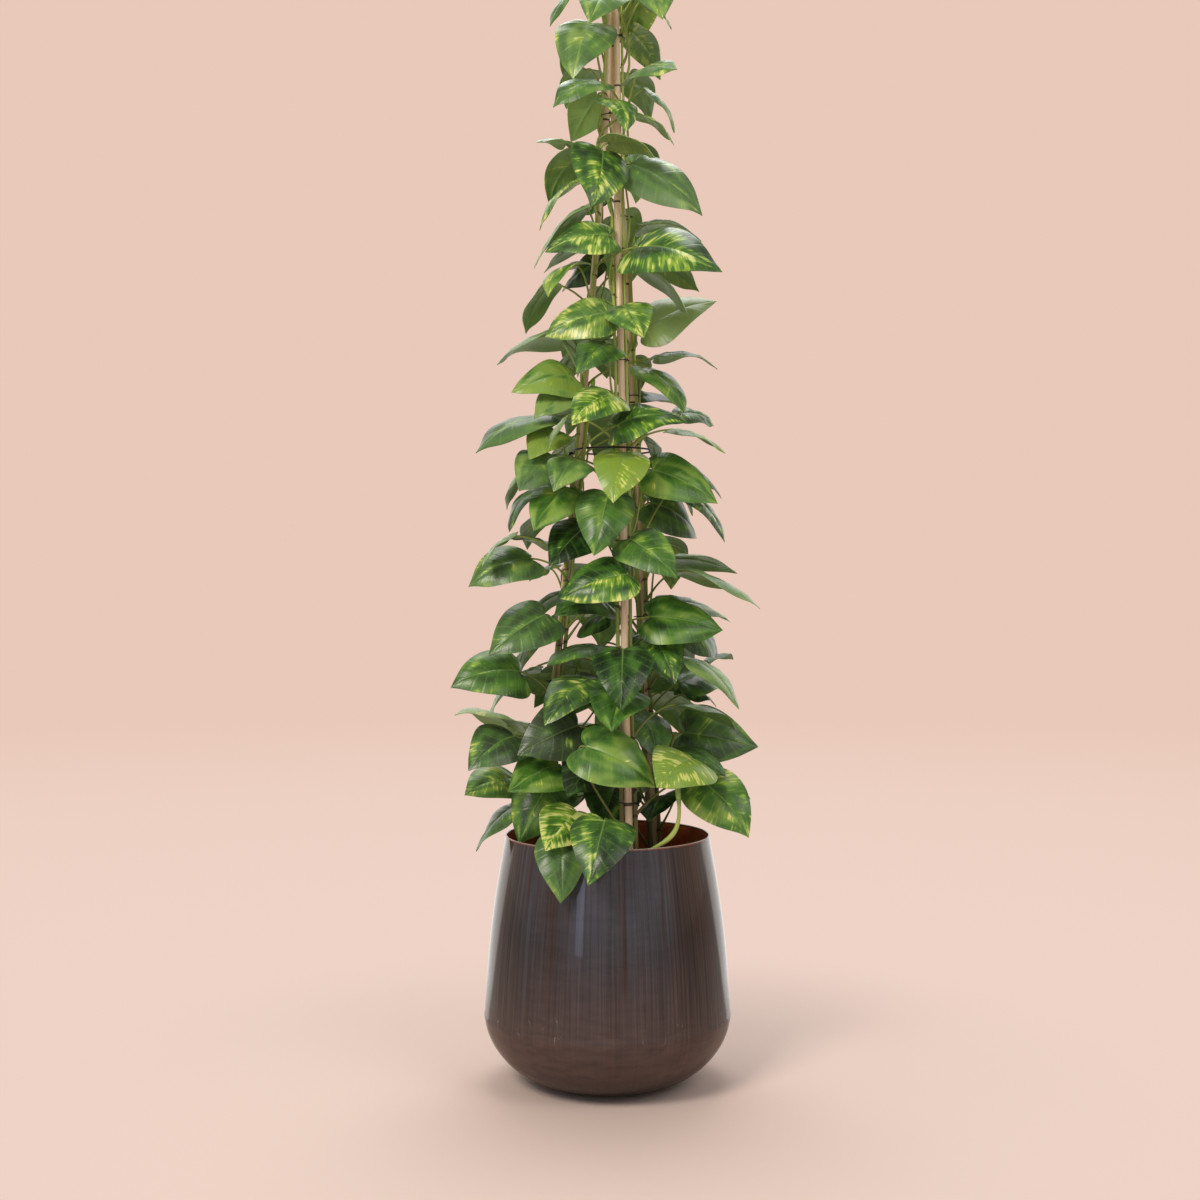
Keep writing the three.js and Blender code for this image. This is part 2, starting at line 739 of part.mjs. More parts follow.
// The nearest vine with a free node below the leaf, from which a stalk reaches it without a touch
function findStalk(leaf, blade) {
  const near = vines
    .map((vine) => ({ vine, away: stemCentre(vine, Math.min(leaf.base.z, vine.top)).distanceTo(leaf.base) }))
    .sort((a, b) => a.away - b.away)
    .slice(0, 7);
  for (const { vine } of near) {
    for (const drop of nodeDrops) {
      const node = leaf.base.z - drop;
      if (node < soilLevel + 14 || node > vine.top - 9) continue;
      if (vine.nodes.some((other) => Math.abs(other - node) < nodeSpacing)) continue;
      const path = stalkPath(vine, node, leaf);
      const samples = stalkSamples(path);
      if (crossesOwnBlade(path, blade)) continue;
      if (isClear(samples, stalkRoom, vine.number)) return { vine, node, path, samples };
    }
  }
  return null;
}

function placeLeaf(leaf) {
  const samples = bladeSamples(leaf);
  if (!isClear(samples, bladeRoom)) return false;
  const found = findStalk(leaf, samples);
  if (!found) return false;
  occupy(samples, bladeRoom, "leaf");
  occupy(found.samples, stalkRoom, "stalk");
  found.vine.nodes.push(found.node);
  found.vine.parts.push(makeLeafBody(leaf, found.path));
  return true;
}

const usualLength = (z) => lerp(122, 92, clamp01((z - 450) / 1300));

// A point of the front elevation, at a depth, in the part's own frame
function fromElevation(x, z, y) {
  const scale = (eye.back + y) / eye.back;
  return vec(eye.x + (x - eye.x) * scale, y, eye.z + (z - eye.z) * scale);
}

function placeFrontLeaves() {
  const frontFacing = vec(0, -0.8, 0.6);
  for (const [baseX, baseZ, tipX, tipZ, baseY, roll, ownLength] of frontLeaves) {
    const length = (ownLength || usualLength(baseZ)) * lerp(0.96, 1.04, draw());
    const shown = Math.hypot(tipX - baseX, tipZ - baseZ) * ((eye.back + baseY) / eye.back);
    const deep = Math.sqrt(Math.max(0, length ** 2 - shown ** 2)) * (baseY > 0 ? 1 : -1);
    const flatter = Math.sign(baseX - tipX);
    const width = lerp(0.92, 1.04, draw());
    const bend = lerp(0.08, 0.16, draw());
    const wave = 6.28 * draw();
    otherShifts.some(([right, higher, turn]) =>
      depthShifts.some((shift) => {
        const base = fromElevation(baseX + right, baseZ + higher, baseY + shift);
        const tip = fromElevation(tipX + right, tipZ + higher, baseY + shift + deep);
        return placeLeaf(makeLeaf(base, tip, frontFacing, flatter * roll + turn, width, bend, wave));
      }),
    );
  }
}

// How far the leaf tips reach from the pyramid's middle
const foliageReach = (z) => lerp(245, 105, clamp01((z - 560) / 1250)) - 45 * clamp01((520 - z) / 110);

function placeBackLeaves() {
  let placed = 0;
  for (let turn = 0; turn < backLeafTries && placed < backLeafCount; turn++) {
    const z = lerp(backLeafLow, backLeafHigh, draw());
    const angle = radians(lerp(backArc.from, backArc.to, draw()));
    const heading = angle + radians(lerp(-45, 45, draw()));
    const length = usualLength(z) * lerp(0.85, 1.12, draw());
    const droop = radians(lerp(10, 60, draw()));
    const inward = draw() ** 2;
    const roll = lerp(-25, 25, draw());
    const width = lerp(0.9, 1.04, draw());
    const bend = lerp(0.08, 0.2, draw());
    const wave = 6.28 * draw();
    const outward = vec(Math.cos(angle), Math.sin(angle), 0);
    const flat = vec(Math.cos(heading), Math.sin(heading), 0);
    const outermost = foliageReach(z) - length * Math.cos(droop);
    const reach = Math.max(30, outermost - 70 * inward);
    const base = outward.clone().multiplyScalar(reach).add(vec(pyramidShift(z), 0, z));
    const tip = base
      .clone()
      .addScaledVector(flat, length * Math.cos(droop))
      .addScaledVector(up, -length * Math.sin(droop));
    const facing = outward.clone().multiplyScalar(0.6).add(up);
    if (placeLeaf(makeLeaf(base, tip, facing, roll, width, bend, wave))) placed += 1;
  }
}

// The whole object

const pothos = new THREE.Group();

function add(name, geometry, material) {
  const mesh = new THREE.Mesh(geometry, material);
  mesh.name = name;
  pothos.add(mesh);
}

occupyFrame();
placeFrontLeaves();
placeBackLeaves();

const caneHoles = caneNames.map((_, cane) => makeCane(cane, fitGap));
const stemHoles = vines.map(makeStemHole);
add("pot", makePot(), potFinish);
add("potting_soil", makeSoil([...caneHoles, ...stemHoles]), soilFinish);
caneNames.forEach((name, cane) => add(`cane_${name}`, makeCane(cane), caneFinish));
add("hoop", makeHoop(hoopHeight), wireFinish);
ties.forEach((tie, i) => {
  const centre = caneCentre(tie.cane, tie.z);
  const ring = new THREE.TorusGeometry(tieRadius(tie.z), tieWireRadius, 3, 12).translate(...centre.toArray());
  add(`tie_${i + 1}`, ring, wireFinish);
});
bundleTies.forEach((z, i) => {
  const ring = new THREE.TorusGeometry(bundleTieRadius(z), tieWireRadius, 3, 24);
  add(`top_tie_${i + 1}`, ring.translate(pyramidShift(z), 0, z), wireFinish);
});
for (const vine of vines) {
  const stem = makeStem(vine);
  const solid = wasm.Manifold.union([stem, ...vine.parts].map(solidOf));
  add(`vine_${vine.number + 1}`, geometryOf(solid), leafFinish);
}

export default pothos;
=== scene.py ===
# %% [markdown]
# # A potted golden pothos on a bamboo pyramid
#
# The real thing is a tall house plant: nine leafy stems climb three bamboo canes, tied on with dark
# wire, and stand in a round-bottomed metal pot. The solids of the part arrive as a fixed frame, in
# metres, with the origin in the middle of the pot's foot and -Y as the front. Every piece made here
# takes the place of one of those solids and keeps its form, with finer shapes and real finishes.

import math
from functools import partial
from types import SimpleNamespace

import bmesh
import bpy
import numpy as np
from mathutils import Matrix, Vector, noise


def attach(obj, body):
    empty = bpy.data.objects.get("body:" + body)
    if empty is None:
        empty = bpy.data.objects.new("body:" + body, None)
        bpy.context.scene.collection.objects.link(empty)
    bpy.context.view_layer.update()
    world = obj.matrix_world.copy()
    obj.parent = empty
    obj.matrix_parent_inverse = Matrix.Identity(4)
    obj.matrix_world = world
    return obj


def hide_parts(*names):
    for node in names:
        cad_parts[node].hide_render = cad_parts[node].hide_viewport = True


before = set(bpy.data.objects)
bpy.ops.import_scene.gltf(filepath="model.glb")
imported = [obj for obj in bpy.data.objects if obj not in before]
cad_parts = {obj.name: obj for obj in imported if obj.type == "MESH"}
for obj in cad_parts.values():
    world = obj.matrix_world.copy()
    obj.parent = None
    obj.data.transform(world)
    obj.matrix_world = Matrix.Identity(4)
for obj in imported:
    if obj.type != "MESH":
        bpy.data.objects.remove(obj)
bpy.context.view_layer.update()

# %% [markdown]
# ## Small helpers
#
# The shapes are worked out in millimetres and become metres when a mesh is made. Colours are written
# as the hex values that a paint program shows, so one function turns them into the linear numbers
# that a shader counts in. Another adds a node: each of its inputs is a value or the node that feeds
# it. A map range leads from its inputs 1 and 2 to 3 and 4, and a soft one eases in and out. A mix has
# its share at 0, and mixes the numbers at 2 and 3 or the colours at 6 and 7.


# %% Numbers
def clamp01(t):
    return min(1.0, max(0.0, t))


def smooth(t):
    return clamp01(t) ** 2 * (3 - 2 * clamp01(t))


def lerp(a, b, t):
    return a + (b - a) * t


def length_of(vector):
    return math.sqrt(vector @ vector)


def unit(vector):
    return vector / length_of(vector)


def sideways_of(outward):
    return np.array([-outward[1], outward[0], 0])


def level_heading(angle):
    return np.array([math.cos(angle), math.sin(angle), 0])


print("a quarter of the way from 2 to 4:", lerp(2, 4, 0.25))

# %% Colours and nodes
soft = {"interpolation_type": "SMOOTHSTEP"}


def linear(code):
    channels = [int(code[i : i + 2], 16) / 255 for i in (1, 3, 5)]
    return (*[c / 12.92 if c <= 0.04045 else ((c + 0.055) / 1.055) ** 2.4 for c in channels], 1)


def set_inputs(node, inputs):
    for socket, value in inputs.items():
        if isinstance(value, bpy.types.Node):
            value = next(output for output in value.outputs if output.enabled)
        if isinstance(value, bpy.types.NodeSocket):
            node.id_data.links.new(value, node.inputs[socket])
        else:
            node.inputs[socket].default_value = value


def add_node(tree, kind, inputs=None, stops=None, **settings):
    node = tree.nodes.new("ShaderNode" + kind)
    for name, value in settings.items():
        setattr(node, name, value)
    set_inputs(node, inputs or {})
    if stops:
        places = sorted(stops)
        ramp = node.color_ramp.elements
        ramp[0].position = places[0]
        ramp[1].position = places[-1]
        for place in places[1:-1]:
            ramp.new(place)
        for element, place in zip(ramp, places):
            element.color = linear(stops[place])
    return node


def new_material(name, inputs):
    material = bpy.data.materials.new(name)
    material.use_nodes = True
    shader = material.node_tree.nodes["Principled BSDF"]
    set_inputs(shader, inputs)
    return material, shader, partial(add_node, material.node_tree)


def add_mottle(add, scale, detail, roughness, stops):
    place = add("TexCoord").outputs["Object"]
    grain = add("TexNoise", {"Vector": place, "Scale": scale, "Detail": detail, "Roughness": roughness})
    return grain, add("ValToRGB", {0: grain}, stops)


def add_distance(add, value, level):
    off = add("Math", {0: value, 1: level}, operation="SUBTRACT")
    return add("Math", {0: off}, operation="ABSOLUTE")


print("linear mid grey:", linear("#808080")[0])


# %% Finish a piece
def show(name, data):
    thing = bpy.data.objects.new(name, data)
    bpy.context.scene.collection.objects.link(thing)
    return thing


def finish_piece(name, bm, materials, node, sharp=40):
    for face in bm.faces:
        face.smooth = True
    mesh = bpy.data.meshes.new(name)
    bm.to_mesh(mesh)
    bm.free()
    mesh.set_sharp_from_angle(angle=math.radians(sharp))
    for material in materials:
        mesh.materials.append(material)
    piece = show(name, mesh)
    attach(piece, "root")
    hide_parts(node)
    print(name, "has", sum(len(face.vertices) - 2 for face in mesh.polygons), "triangles")


# %% [markdown]
# ## The camera
#
# The photograph was taken level with the middle of the plant from about two and a half metres, a
# little left of the pot's axis. A level camera at that height with a 46.5 mm lens on a 36 mm sensor
# gives its square frame.

# %% Camera
camera_distance = 2560
camera_height = 790
camera = show("camera", bpy.data.cameras.new("camera"))
camera.data.sensor_width = 36
camera.data.lens = 46.545
camera.location = (-0.0124, -camera_distance / 1000, camera_height / 1000)
camera.rotation_euler = (math.radians(90), 0, 0)
bpy.context.scene.camera = camera
bpy.context.scene.view_settings.view_transform = "Standard"
print("camera looks along +Y with a lens of", camera.data.lens, "mm")

# %% [markdown]
# ## The pot
#
# The pot is spun from sheet metal: a rounded bottom rises to a soft crease with a small bead on it,
# the side leans in to the rim, and the rim's edge is folded in as a hem 10 mm deep. A turned shape
# could be a stack of scaled cylinders, but one outline spun round the axis keeps the curve smooth and
# the wall even. The outline runs up the outside, over the hem and back down the inside.

# %% The pot's outline
pot_height = 405
rim_radius = 167
belly_radius = 202
belly_height = 112
foot_radius = 80
bottom_fullness = 1.1
side_bulge = 6
bead_rise = 0.9
bead_width = 5
pot_wall = 1.5
hem_depth = 10
hem_thickness = 1.2
fold_reach = 1.35
fold_rise = 1.3
fold_foot = 2.2
soil_level = 345
fit_gap = 0.3


def pot_outline(bottom_steps, side_steps):
    outline = []
    for i in range(bottom_steps + 1):
        turn = math.pi / 2 * i / bottom_steps
        radius = foot_radius + (belly_radius - foot_radius) * math.sin(turn) ** bottom_fullness
        outline.append((radius, belly_height * (1 - max(0, math.cos(turn)) ** bottom_fullness)))
    for i in range(1, side_steps + 1):
        t = i / side_steps
        radius = lerp(belly_radius, rim_radius, t) + side_bulge * math.sin(math.pi * t)
        outline.append((radius, lerp(belly_height, pot_height, t)))
    return outline


def with_bead(outline):
    beaded = []
    for radius, height in outline:
        off = (height - belly_height) / bead_width
        beaded.append((radius + bead_rise * math.exp(-(off**2)), height))
    return beaded


def inset_outline(outline, distance):
    moved = [(outline[0][0], outline[0][1] + distance)]
    for i in range(1, len(outline)):
        before = outline[i - 1]
        after = outline[min(len(outline) - 1, i + 1)]
        length = math.hypot(after[0] - before[0], after[1] - before[1])
        across = (after[1] - before[1]) / length
        upward = (after[0] - before[0]) / length
        moved.append((outline[i][0] - across * distance, outline[i][1] + upward * distance))
    return moved


def radius_at(outline, height):
    radii, heights = zip(*outline)
    return np.interp(height, heights, radii)


outside = pot_outline(26, 72)
print("pot outline:", len(outside), "points up to", outside[-1])


# %% Spin a profile round the axis
def spin_round(bm, geom, centre, steps):
    bmesh.ops.spin(
        bm, geom=geom, cent=centre, axis=(0, 0, 1), angle=2 * math.pi, steps=steps, use_merge=True
    )


def spin_profile(profile, steps):
    bm = bmesh.new()
    verts = [bm.verts.new((radius / 1000, 0, height / 1000)) for radius, height in profile]
    edges = [bm.edges.new(pair) for pair in zip(verts, verts[1:])]
    spin_round(bm, verts + edges, (0, 0, 0), steps)
    bmesh.ops.remove_doubles(bm, verts=bm.verts, dist=1e-6)
    bmesh.ops.recalc_face_normals(bm, faces=bm.faces)
    return bm


def make_pot():
    hem_foot = pot_height - hem_depth
    inside = [point for point in inset_outline(outside, pot_wall) if point[1] < hem_foot - 4]
    hem = radius_at(inside, pot_height) - hem_thickness
    lower = radius_at(inside, hem_foot)
    fold_middle = lerp(hem, rim_radius, 0.5)
    over_edge = []
    for t in (0.08, 0.25, 0.5, 0.75, 0.92):
        radius = fold_middle + fold_reach * math.cos(math.pi * t)
        over_edge.append((radius, pot_height - fold_rise + fold_rise * math.sin(math.pi * t)))
    profile = [
        (0, 0),
        *with_bead(outside[:-1]),
        (rim_radius + 0.15, pot_height - fold_foot),
        *over_edge,
        (hem, pot_height - fold_foot),
        (lower - hem_thickness, hem_foot + 0.5),
        (lower - hem_thickness + 0.6, hem_foot),
        (lower, hem_foot - 0.5),
        *inside[::-1],
        (0, pot_wall),
    ]
    return spin_profile(profile, 144)


pot_mesh = make_pot()
print("pot:", len(pot_mesh.faces), "faces")

# %% [markdown]
# ## The pot's finish
#
# The sheet is steel, darkened to a bronze brown, brushed and lacquered. On the side the brushing runs
# straight down, in streaks a millimetre or two wide and some 14 cm long that are plainest towards the
# left and right. On the round bottom it runs round the axis, as the bowl was turned against the brush.
# The streaks are noise on the direction from the axis and on the height, so they follow the pot
# evenly. Where the pot faces along the camera's axis its colour is painted greyer and bluer, a
# painted reflection, so the sides are browner. The round bottom is painted a paler pinkish brown, a
# painted reflection of the pale floor, the foot is darkened as a painted shadow, the upper side is
# lightened as a painted highlight, and the mirror of the lacquer lies over it all. Inside, the
# lacquer is a red copper brown.

# %% Lacquered brushed steel, its streaks
pot_skin, shader, add = new_material(
    "lacquered_brushed_steel",
    {
        "Metallic": 0.12,
        "Specular IOR Level": 0.1,
        "Coat Weight": 0.95,
        "Coat Roughness": 0.05,
        "Coat IOR": 1.42,
    },
)
east, north, height = add("SeparateXYZ", {0: add("TexCoord").outputs["Object"]}).outputs
outward = add("VectorMath", {0: add("CombineXYZ", {0: east, 1: north})}, operation="NORMALIZE")
rise = add("CombineXYZ", {2: height})


def streaks(across, down, detail, shift):
    around = add("VectorMath", {0: outward, 1: (across,) * 3}, operation="MULTIPLY")
    along = add("VectorMath", {0: rise, 1: (0, 0, down), 2: (shift,) * 3}, operation="MULTIPLY_ADD")
    both = add("VectorMath", {0: around, 1: along}, operation="ADD")
    return add("TexNoise", {"Vector": both, "Scale": 1, "Detail": detail, "Roughness": 0.6})


# At the belly a streak is 200 mm over the first number wide, and 1 m over the second one long.
brushing = streaks(150, 7, 5, 0)
bands = streaks(42, 2.4, 3, 17.3)
clouds = streaks(3.2, 1.6, 2, 4.1)
warm_streaks = streaks(13, 3.0, 5, 9.7)
turning = streaks(5, 95, 4, 71.1)
marks = streaks(24, 30, 1, 31.7)
touched = streaks(5, 14, 1, 52.3)
print("a streak of the brushing is", round(200 / 150, 2), "mm wide")

# %% Lacquered brushed steel, its colours
# Where the pot faces along the camera's axis, front and back, it is painted greyer and bluer: a painted
# reflection. The sides keep the browner end of the ramp.
facing = add("VectorMath", {0: outward, 1: (0.14, 0.99, 0)}, operation="DOT_PRODUCT")
front = add("Math", {0: facing}, operation="ABSOLUTE")
front_reflection = add("MapRange", {0: front, 1: 0.55, 2: 0.85, 3: 0.0, 4: 0.6})
clouds_and_front_reflection = add("Math", {0: clouds, 1: 0.7, 2: front_reflection}, operation="MULTIPLY_ADD")
bronze = add("ValToRGB", {0: clouds_and_front_reflection}, {0.4: "#3b251a", 0.7: "#352a26", 0.95: "#403f46"})
warm = add("MapRange", {0: warm_streaks, 1: 0.5, 2: 0.68, 4: 0.75}, **soft)
patina = add("Mix", {0: warm, 6: bronze, 7: linear("#3a1f14")}, data_type="RGBA")
# The round bottom is painted a paler pinkish brown: a painted reflection of the pale floor in the
# lacquer.
low = add("MapRange", {0: height, 1: 0.27, 2: 0.12, 4: 0.85})
floor_reflection_tint = add("Mix", {0: low, 6: patina, 7: linear("#5b4943")}, data_type="RGBA")
band_shade = add("MapRange", {0: bands, 1: 0.33, 2: 0.67, 3: 0.56, 4: 1.4})
fine_shade = add("MapRange", {0: brushing, 1: 0.33, 2: 0.67, 3: 0.58, 4: 1.38})
down_shade = add("Math", {0: band_shade, 1: fine_shade}, operation="MULTIPLY")
round_shade = add("MapRange", {0: turning, 1: 0.33, 2: 0.67, 3: 0.8, 4: 1.2})
side = add("MapRange", {0: height, 1: 0.08, 2: 0.17, 3: 0.2, 4: 1}, **soft)
calm = add("MapRange", {0: front, 1: 0.7, 2: 0.95, 3: 1, 4: 0.55}, **soft)
down_share = add("Math", {0: side, 1: calm}, operation="MULTIPLY")
shade = add("Mix", {0: down_share, 2: round_shade, 3: down_shade})
brushed = add("VectorMath", {0: floor_reflection_tint, 1: shade}, operation="MULTIPLY")
# The foot is darkened to a tenth near the floor: a painted shadow where the pot stands.
foot = add("MapRange", {0: height, 1: 0.06, 2: 0.0, 3: 1, 4: 0.1})
# The upper side is lightened by up to a third: a painted highlight.
shoulder = add("MapRange", {0: height, 1: 0.25, 2: 0.36, 3: 1, 4: 1.35})
painted_shade_and_highlight = add("Math", {0: foot, 1: shoulder}, operation="MULTIPLY")
graded = add("VectorMath", {0: brushed, 1: painted_shade_and_highlight}, operation="MULTIPLY")
print("pot finish nodes so far:", len(pot_skin.node_tree.nodes))

# %% Lacquered brushed steel, its wear and painted rim highlight
# Scratches as fine as hairs follow one level line of a noise, here and there in a belt above the
# crease, where a pot is rubbed when it is moved. The rim's upper edge is painted pale as a painted
# highlight.
hair = add("MapRange", {0: add_distance(add, marks, 0.5), 1: 0.008, 2: 0.001, 4: 0.6})
belt = add("MapRange", {0: add_distance(add, height, 0.128), 1: 0.026, 2: 0.012}, **soft)
handled = add("MapRange", {0: touched, 1: 0.52, 2: 0.6}, **soft)
seldom = add("Math", {0: handled, 1: belt}, operation="MULTIPLY")
scratch = add("Math", {0: hair, 1: seldom}, operation="MULTIPLY")
scratched = add("Mix", {0: scratch, 6: graded, 7: linear("#b5aaa4")}, data_type="RGBA")
# The rim's top edge is painted pale: a painted highlight.
edge = add("MapRange", {0: height, 1: 0.4032, 2: 0.4042, 4: 0.8})
rim_highlighted = add("Mix", {0: edge, 6: scratched, 7: linear("#c4b2a6")}, data_type="RGBA")
gloss = add("MapRange", {0: brushing, 1: 0.3, 2: 0.7, 3: 0.4, 4: 0.55})
bump = add("Bump", {"Height": brushing, "Strength": 0.1, "Distance": 0.0003})
set_inputs(shader, {"Base Color": rim_highlighted, "Roughness": gloss, "Normal": bump})
print("pot finish nodes:", len(pot_skin.node_tree.nodes))

# %% Copper-red lacquer inside
lining, shader, add = new_material("copper_red_lacquer", {"Metallic": 0.15, "Roughness": 0.4})
_, red = add_mottle(add, 22, 5, 0.65, {0.3: "#b04c2b", 0.72: "#dd8355"})
set_inputs(shader, {"Base Color": red})
for face in pot_mesh.faces:
    middle = face.calc_center_median() * 1000
    within = middle.xy.length < radius_at(outside, middle.z) - 0.6
    face.material_index = int(within and 1 < middle.z < pot_height - pot_wall)
finish_piece("pot_body", pot_mesh, [pot_skin, lining], "pot", 32)

# %% [markdown]
# ## The soil
#
# Potting soil is dark peat with crumbs of bark and a few white grains of perlite. A noise in the
# finish alone would look flat from above, so the top is a spun disc whose points are lifted by
# noise, and small icospheres of a few faces lie on it as crumbs, squashed and turned each its own way.

# %% Potting soil
crumb_count = 620
perlite_share = 0.13
clod_height = 2.4
mound_height = 0.8
rng = np.random.default_rng(12)
soil_edge = float(radius_at(inset_outline(outside, pot_wall), soil_level)) - fit_gap
fill = [point for point in inset_outline(outside, pot_wall + fit_gap) if point[1] < soil_level - 8]
rings = [(soil_edge * share, soil_level) for share in np.linspace(1, 0, 40)[:-1]]
soil_mesh = spin_profile([(0, pot_wall + fit_gap), *fill, *rings, (0, soil_level)], 110)
for vert in soil_mesh.verts:
    if vert.co.z * 1000 > soil_level - 1:
        reach = vert.co.xy.length * 1000 / soil_edge
        clods = noise.fractal(vert.co * 60, 0.8, 2.1, 4)
        lift = clod_height * clods * (1 - reach**6) + mound_height * (1 - reach**2)
        vert.co.z += lift / 1000
fleck = soil_mesh.verts.layers.float.new("fleck")
for _ in range(crumb_count):
    turn = rng.uniform(0, 2 * math.pi)
    reach = soil_edge * math.sqrt(rng.uniform(0, 0.93))
    size = rng.uniform(0.8, 2.6) ** 1.3
    is_perlite = float(rng.uniform() < perlite_share)
    at = Vector((reach * math.cos(turn), reach * math.sin(turn), soil_level + 1.0)) / 1000
    turned = Matrix.Rotation(rng.uniform(0, 6.28), 4, Vector(rng.normal(size=3)))
    squash = Matrix.Diagonal((*(size * rng.uniform(0.6, 1.5, 3) / 1000), 1))
    crumb = bmesh.ops.create_icosphere(
        soil_mesh, subdivisions=1, radius=1, matrix=Matrix.Translation(at) @ turned @ squash
    )
    for vert in crumb["verts"]:
        vert[fleck] = is_perlite
print("soil top radius:", round(soil_edge, 1), "mm")

# %% Peat, bark and perlite
peat, shader, add = new_material("moist_peat", {"Roughness": 0.92, "Specular IOR Level": 0.25})
grain, crumbs = add_mottle(add, 320, 5, 0.7, {0.35: "#1d130d", 0.7: "#4a3424"})
white = add("Attribute", attribute_name="fleck").outputs["Fac"]
mixed = add("Mix", {0: white, 6: crumbs, 7: linear("#cfc8ba")}, data_type="RGBA")
bump = add("Bump", {"Height": grain, "Strength": 0.6, "Distance": 0.001})
set_inputs(shader, {"Base Color": mixed, "Normal": bump})
finish_piece("soil_fill", soil_mesh, [peat], "potting_soil")

# %% [markdown]
# ## Where everything stands
#
# The canes lean together as a pyramid, three stems climb each cane, and every leaf has its own place,
# turn and stalk. These places follow the same rule and the same repeatable draws as the solids, so
# each finer leaf grows where its solid is.

# %% Canes, stems and ties
vine_tops = [(1790, 1425, 1010), (1850, 1360, 960), (1730, 1400, 1120)]
cane_names = ["front", "right", "left"]
cane_foot = 195
cane_top = 1905
cane_lean = 0.0878
joint_swelling = 1.12
front_cane_angle = -73.6
bundle_height = 1620
bundle_radius = 6.2
bundle_softness = 8
bundle_twist = 35
twist_from = 1420
stem_gap = 0.9
stem_sway = 9
hoop_height = 1036
hoop_wire = 1.5
tie_wire = 0.9
ties = [(0, 470), (2, 655), (0, 712), (1, 762), (1, 892), (2, 905)]
ties += [(1, 1131), (2, 1125), (0, 1178), (1, 1425), (0, 1497)]
bundle_ties = [1586, 1716, 1838]


def pyramid_shift(z):
    return 2 + 7 * smooth((z - 600) / 600)


def pyramid_radius(z):
    opening = cane_lean * (bundle_height - z)
    return bundle_radius + 0.5 * (opening + math.hypot(opening, bundle_softness))


def cane_radius(z):
    return lerp(6.5, 4.8, (z - cane_foot) / (cane_top - cane_foot))


def stem_radius(z):
    return lerp(3.5, 2, clamp01((z - soil_level) / 1450))


def cane_angle(cane, z):
    turn = front_cane_angle + bundle_twist * smooth((z - twist_from) / 220)
    return math.radians(turn + 120 * cane)


def cane_centre(cane, z):
    angle = cane_angle(cane, z)
    radius = pyramid_radius(z)
    return np.array([pyramid_shift(z) + radius * math.cos(angle), radius * math.sin(angle), z])


def stem_distance(z):
    return cane_radius(z) * joint_swelling + stem_gap + stem_radius(z)


def stem_centre(vine, z):
    sway = stem_sway * smooth((z - soil_level - 15) / 90)
    sway *= math.sin(z / 83 + 2.1 * vine.cane + 1.3 * vine.place)
    side = (96 - 62 * smooth((z - 1350) / 200), -96, 180)[vine.place] + sway
    angle = cane_angle(vine.cane, z) + math.radians(side)
    return cane_centre(vine.cane, z) + stem_distance(z) * level_heading(angle)


def tie_radius(z):
    return stem_distance(z) + stem_radius(z) + (tie_wire + fit_gap)


def bundle_tie_radius(z):
    reaches = [stem_centre(vine, z) for vine in vines if vine.top > z]
    furthest = max(math.hypot(at[0] - pyramid_shift(z), at[1]) for at in reaches)
    return furthest + stem_radius(z) + tie_wire


vines = [
    SimpleNamespace(cane=cane, place=place, top=top, number=3 * cane + place, nodes=[], leaves=[])
    for cane, tops in enumerate(vine_tops)
    for place, top in enumerate(tops)
]
hoop_radius = pyramid_radius(hoop_height) + cane_radius(hoop_height) + fit_gap + hoop_wire
print("vines:", len(vines), "ties:", len(ties) + len(bundle_ties))

# %% [markdown]
# What is in place already is kept as balls along each thing, and a blade or a stalk is tested by
# points on it. A point that comes too near to any ball sends the leaf to its next try.

# %% Room that is taken, as balls along each thing
coarse_outside = pot_outline(5, 4)
coarse_inside = inset_outline(coarse_outside, pot_wall)
soil_unevenness = 3
wire_margin = 1.25
cane_margin = 1
stem_margin = 0.8
blade_room = 3.6
stalk_room = 2.4
sample_step = 4
taken = []


def occupy(points, radius, owner):
    points = np.array(points)
    radii = np.broadcast_to(radius, len(points))
    low = points.min(0) - radii.max()
    high = points.max(0) + radii.max()
    taken.append(SimpleNamespace(points=points, radii=radii, owner=owner, low=low, high=high))


def is_clear_of_pot(points, radius):
    reach = np.hypot(points[:, 0], points[:, 1])
    height = np.minimum(points[:, 2], pot_height)
    above = points[:, 2] > pot_height + radius
    without = (reach > radius_at(coarse_outside, height) + radius) & (points[:, 2] > radius)
    within = reach < radius_at(coarse_inside, height) - hem_thickness - radius
    off_soil = points[:, 2] > soil_level + soil_unevenness + radius
    return bool(np.all(above | without | (within & off_soil)))


def is_clear(points, radius, owner=None):
    if not is_clear_of_pot(points, radius):
        return False
    low = points.min(0) - radius
    high = points.max(0) + radius
    for other in taken:
        if owner is not None and other.owner == owner:
            continue
        if (other.low > high).any() or (other.high < low).any():
            continue
        margin = radius + other.radii.max()
        near = ((other.points > low - margin) & (other.points < high + margin)).all(axis=1)
        mine = ((points > other.low - radius) & (points < other.high + radius)).all(axis=1)
        gaps = points[mine][:, None] - other.points[near][None]
        if (np.einsum("ijk,ijk->ij", gaps, gaps) < (other.radii[near] + radius) ** 2).any():
            return False
    return True


def occupy_ring(radius, centre, room):
    count = math.ceil(2 * math.pi * radius / sample_step)
    turns = 2 * math.pi * np.arange(count) / count
    ring = np.stack([radius * np.cos(turns), radius * np.sin(turns), 0 * turns], axis=1)
    occupy(ring + centre, room, "wire")


